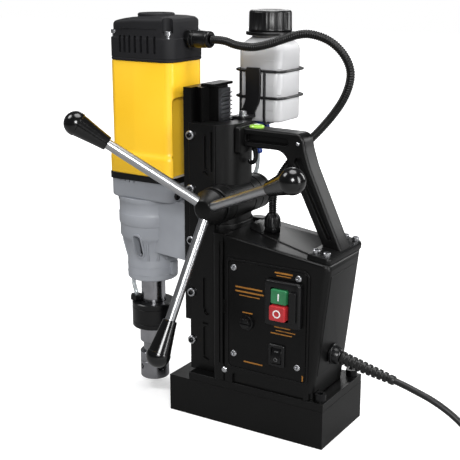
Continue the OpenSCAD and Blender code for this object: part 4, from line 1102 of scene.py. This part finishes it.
def bottle():
    half_x, half_y = 28.5, 26.6
    levels = [(336.4, 4.5, 6), (336, 3.2, 7), (336.5, 1.6, 8.5), (338, 0.4, 9.5), (340.5, 0, 10),
              (362, 0, 10), (363.5, 0.7, 10), (366.5, 0.7, 10), (368, 0, 10), (391, 0, 10), (392.5, 0.7, 10),
              (395.5, 0.7, 10), (397, 0, 10), (417, 0, 10), (420.5, 0.5, 10.5), (423.5, 1.9, 11.5),
              (426, 3.9, 13), (428.2, 6.2, 15)]
    rings = [in_z(rectangle(g - half_x, half_x - g, g - half_y, half_y - g, r, 7), z) for z, g, r in levels]
    turns = [math.atan2(y, x) for x, y, z in rings[0]]
    rings += [[(r * math.cos(a), r * math.sin(a), z) for a in turns]
              for z, r in ((430.3, 21.4), (431.6, 20.4), (433, 20.2), (433.6, 20.6))]
    place = at(BOTTLE_X, BOTTLE_Y, 0)
    add("bottle", moved(loft(rings), place), "root", "bottle_white")
    collar = lathe([(0, 432.6), (27.2, 432.6), (28, 433.3), (28, 435.8), (27.2, 436.5), (22, 436.6),
                    (0, 436.6)], 56)
    plastic("bottle_collar", moved(collar, place))
    scale = joined(*(block((BOTTLE_X + 8, BOTTLE_X + (17 if k % 2 else 20)), (43.55, 44.1),
                           (z - 0.35, z + 0.35))
                     for k, z in enumerate(range(350, 407, 14))))
    add("bottle_scale", scale, "root", "bottle_white")


def bottle_cap():
    rings = [in_z(wheel([r - (flute if k % 3 == 0 else 0) for k in range(96)]), z) for z, r, flute in (
        (437, 24.4, 0), (437.6, 24.9, 0), (439.6, 24.9, 0), (440.2, 24.6, 0.7), (457.4, 24.3, 0.7),
        (458.4, 24, 0.3), (459.6, 23, 0), (460.3, 21.4, 0), (460.4, 17, 0), (460, 16.4, 0))]
    plastic("bottle_cap", moved(loft(rings), at(BOTTLE_X, BOTTLE_Y, 0)), body="bottle_cap", angle=50)


def cage():
    x0, x1, y0, y1 = -68.1, -5.9, 42, 99.6
    sides, up = 12, Vector((0, 0, 1))
    loops = []
    for z in (364, 394):
        path = [Vector(p) for p in in_z(rectangle(x0, x1, y0, y1, 10, 8), z)]
        rings = []
        for before, here, after in zip(path[-1:] + path, path, path[1:] + path[:1]):
            out = (after - before).normalized().cross(up)
            rings.append([here + out * x + up * y for x, y in wheel([WIRE_R] * sides)])
        loops.append(loft(rings, closed=True))
    add("cage_loops", joined(*loops), "root", "wire_black", ["bottle_cage"], angle=60)
    drop = [(0, 395.5), (0, 380), (0, 360), (0, 341), (1.2, 336.6), (5, 334.2), (14, 334)]
    uprights = [tube(smooth([(x, y0 + d, z) for d, z in drop] + [(x, y1 - d, z) for d, z in reversed(drop)],
                            2.5),
                     WIRE_R, sides) for x in (-59.3, -28)]
    add("cage_uprights", joined(*uprights), "root", "wire_black", angle=60)


def valve():
    body = loft([in_z(rectangle(-60 + g, -44 - g, 62 + g, 78 - g, 3.2, 5), z)
                 for z, g in ((304, 1), (305, 0), (319, 0), (320, 1))])
    top = lathe([(0, 319.5), (8.4, 319.5), (9, 320.2), (9, 331), (8.2, 331.8), (4.9, 331.9), (4.9, 342),
                 (0, 342)], 40)
    barb = lathe([(0, 294), (4.6, 294), (5.5, 295), (5.5, 298), (5, 298.6), (5, 299.4), (5.5, 300),
                  (5.5, 304.4), (0, 304.4)], 36)
    side = prism_x(circle(70, 312, 3.05, 24), -46.5, -40)
    add("coolant_valve", joined(cut(body, side), moved(top, VALVE), moved(barb, VALVE)), "root", "valve_blue",
        bevel=0.4)
    tip = loft([in_x(fillet([(65.6 + g, 307 + g), (74.4 - g, 307 + g), (73.2 - g, 330.6 - g),
                             (66.8 + g, 330.6 - g)],
                            2.6, 5), x) for x, g in ((-42, 0.5), (-41.5, 0), (-38.6, 0), (-38, 0.6))])
    ribs = joined(*(block((-38.2, -37.5), (67.6, 72.4), (z, z + 0.9)) for z in (321, 323.4, 325.8)))
    add("valve_lever", joined(tip, rod((-44.9, 70, 312), (-41.8, 70, 312), 3, 24), ribs), "valve_lever",
        "valve_blue")


bottle()
bottle_cap()
cage()
valve()

# ---------------------------------------------------------------- glands and strain relief

BORE_R = 3.2
RELIEF_COILS = 9


def nut(across, low, high):
    """A hexagon nut with chamfered ends, bored for a hose."""
    body = loft([in_z(circle(0, 0, r, 6), h) for h, r in (
        (low, across * 0.95), (low + 0.8, across), (high - 0.8, across), (high, across * 0.95))])
    return cut(body, pin(BORE_R, low - 2, high + 2))


def fluted(levels, flutes=14, deep=0.5):
    """Turns levels of height, radius and how much of each flute is cut there."""
    return loft([in_z(wheel([r - deep * share * (k % 6 == 0) for k in range(flutes * 6)]), h)
                 for h, r, share in levels])


def glands():
    place = at(8, 0, 0)
    plastic("box_gland_stem", moved(ring_of([(BORE_R, 205), (5.9, 205), (5.9, 223), (BORE_R, 223)], 32),
                                    place),
            ["box_gland"])
    plastic("box_gland_nut", moved(nut(10, 221.8, 228), place), bevel=0.35)
    crown = fluted([(227.8, 8.9, 0), (228.3, 9.4, 0), (229.2, 9.4, 0), (229.6, 9.3, 1), (237.5, 8.9, 1),
                    (240.2, 7.6, 1), (242, 6.3, 0.4), (243, 5.6, 0)])
    plastic("box_gland_crown", moved(cut(crown, pin(4.4, 236, 250)), place), angle=40)
    place = towards((-102.4, 0, 430), RIGHT)
    stem = ring_of([(BORE_R, -7.6), (6.8, -7.6), (6.8, 0.5), (BORE_R, 0.5)], 32)
    plastic("motor_gland_stem", moved(stem, place), ["motor_gland"], "carriage")
    plastic("motor_gland_nut", moved(nut(11, 0, 6.4), place), body="carriage", bevel=0.4)
    barrel = lathe([(0, 6), (9.2, 6), (9.8, 6.8), (9.8, 10), (9.2, 10.6), (9.2, 11.4), (9.8, 12), (9.6, 22),
                    (9, 25.6), (9.2, 26), (9.4, 26.6), (9.4, 29), (8.8, 30.1), (7.4, 30.4), (5.4, 29.6),
                    (0, 29.6)], 48)
    plastic("motor_gland_barrel", moved(cut(barrel, pin(4.9, 22, 40)), place), body="carriage")


def cord_exit():
    flange = ring_of([(4, -10), (6.8, -10), (6.8, 0), (10.8, 0), (11.5, 0.6), (11.5, 2.6), (10.8, 3.4),
                      (4, 3.4)], 48)
    plastic("cord_gland", moved(flange, towards((92.6, -14, 99), RIGHT)))
    tilted = towards(RELIEF_START, RELIEF_DIR)
    crown = lathe([(0, -2.4), (10.4, -2.4), (10.6, -1.6), (9.2, 5.4), (8.4, 6.8), (7.6, 7.4), (0, 7.4)], 48)
    plastic("cord_gland_crown", moved(crown, tilted))
    profile = [(0, 7)]
    start, end = 8.0, RELIEF_LENGTH - 7.0
    pitch = (end - start) / RELIEF_COILS
    for k in range(RELIEF_COILS):
        h = start + pitch * k
        r = 7.5 - 2.1 * (h - start) / (end - start)
        profile += [(r - 1.8, h), (r - 1.6, h + 0.3), (r, h + 0.9), (r, h + pitch - 2.4),
                    (r - 0.3, h + pitch - 2.0), (r - 1.8, h + pitch - 1.4)]
    profile += [(3.9, end), (4, end + 0.4), (5, end + 0.9), (5.2, end + 1.6), (5.2, RELIEF_LENGTH - 1.2),
                (4.7, RELIEF_LENGTH), (3.4, RELIEF_LENGTH), (0, RELIEF_LENGTH)]
    add("strain_relief", moved(lathe(profile, 40), tilted), "root", "cord_black")


glands()
cord_exit()
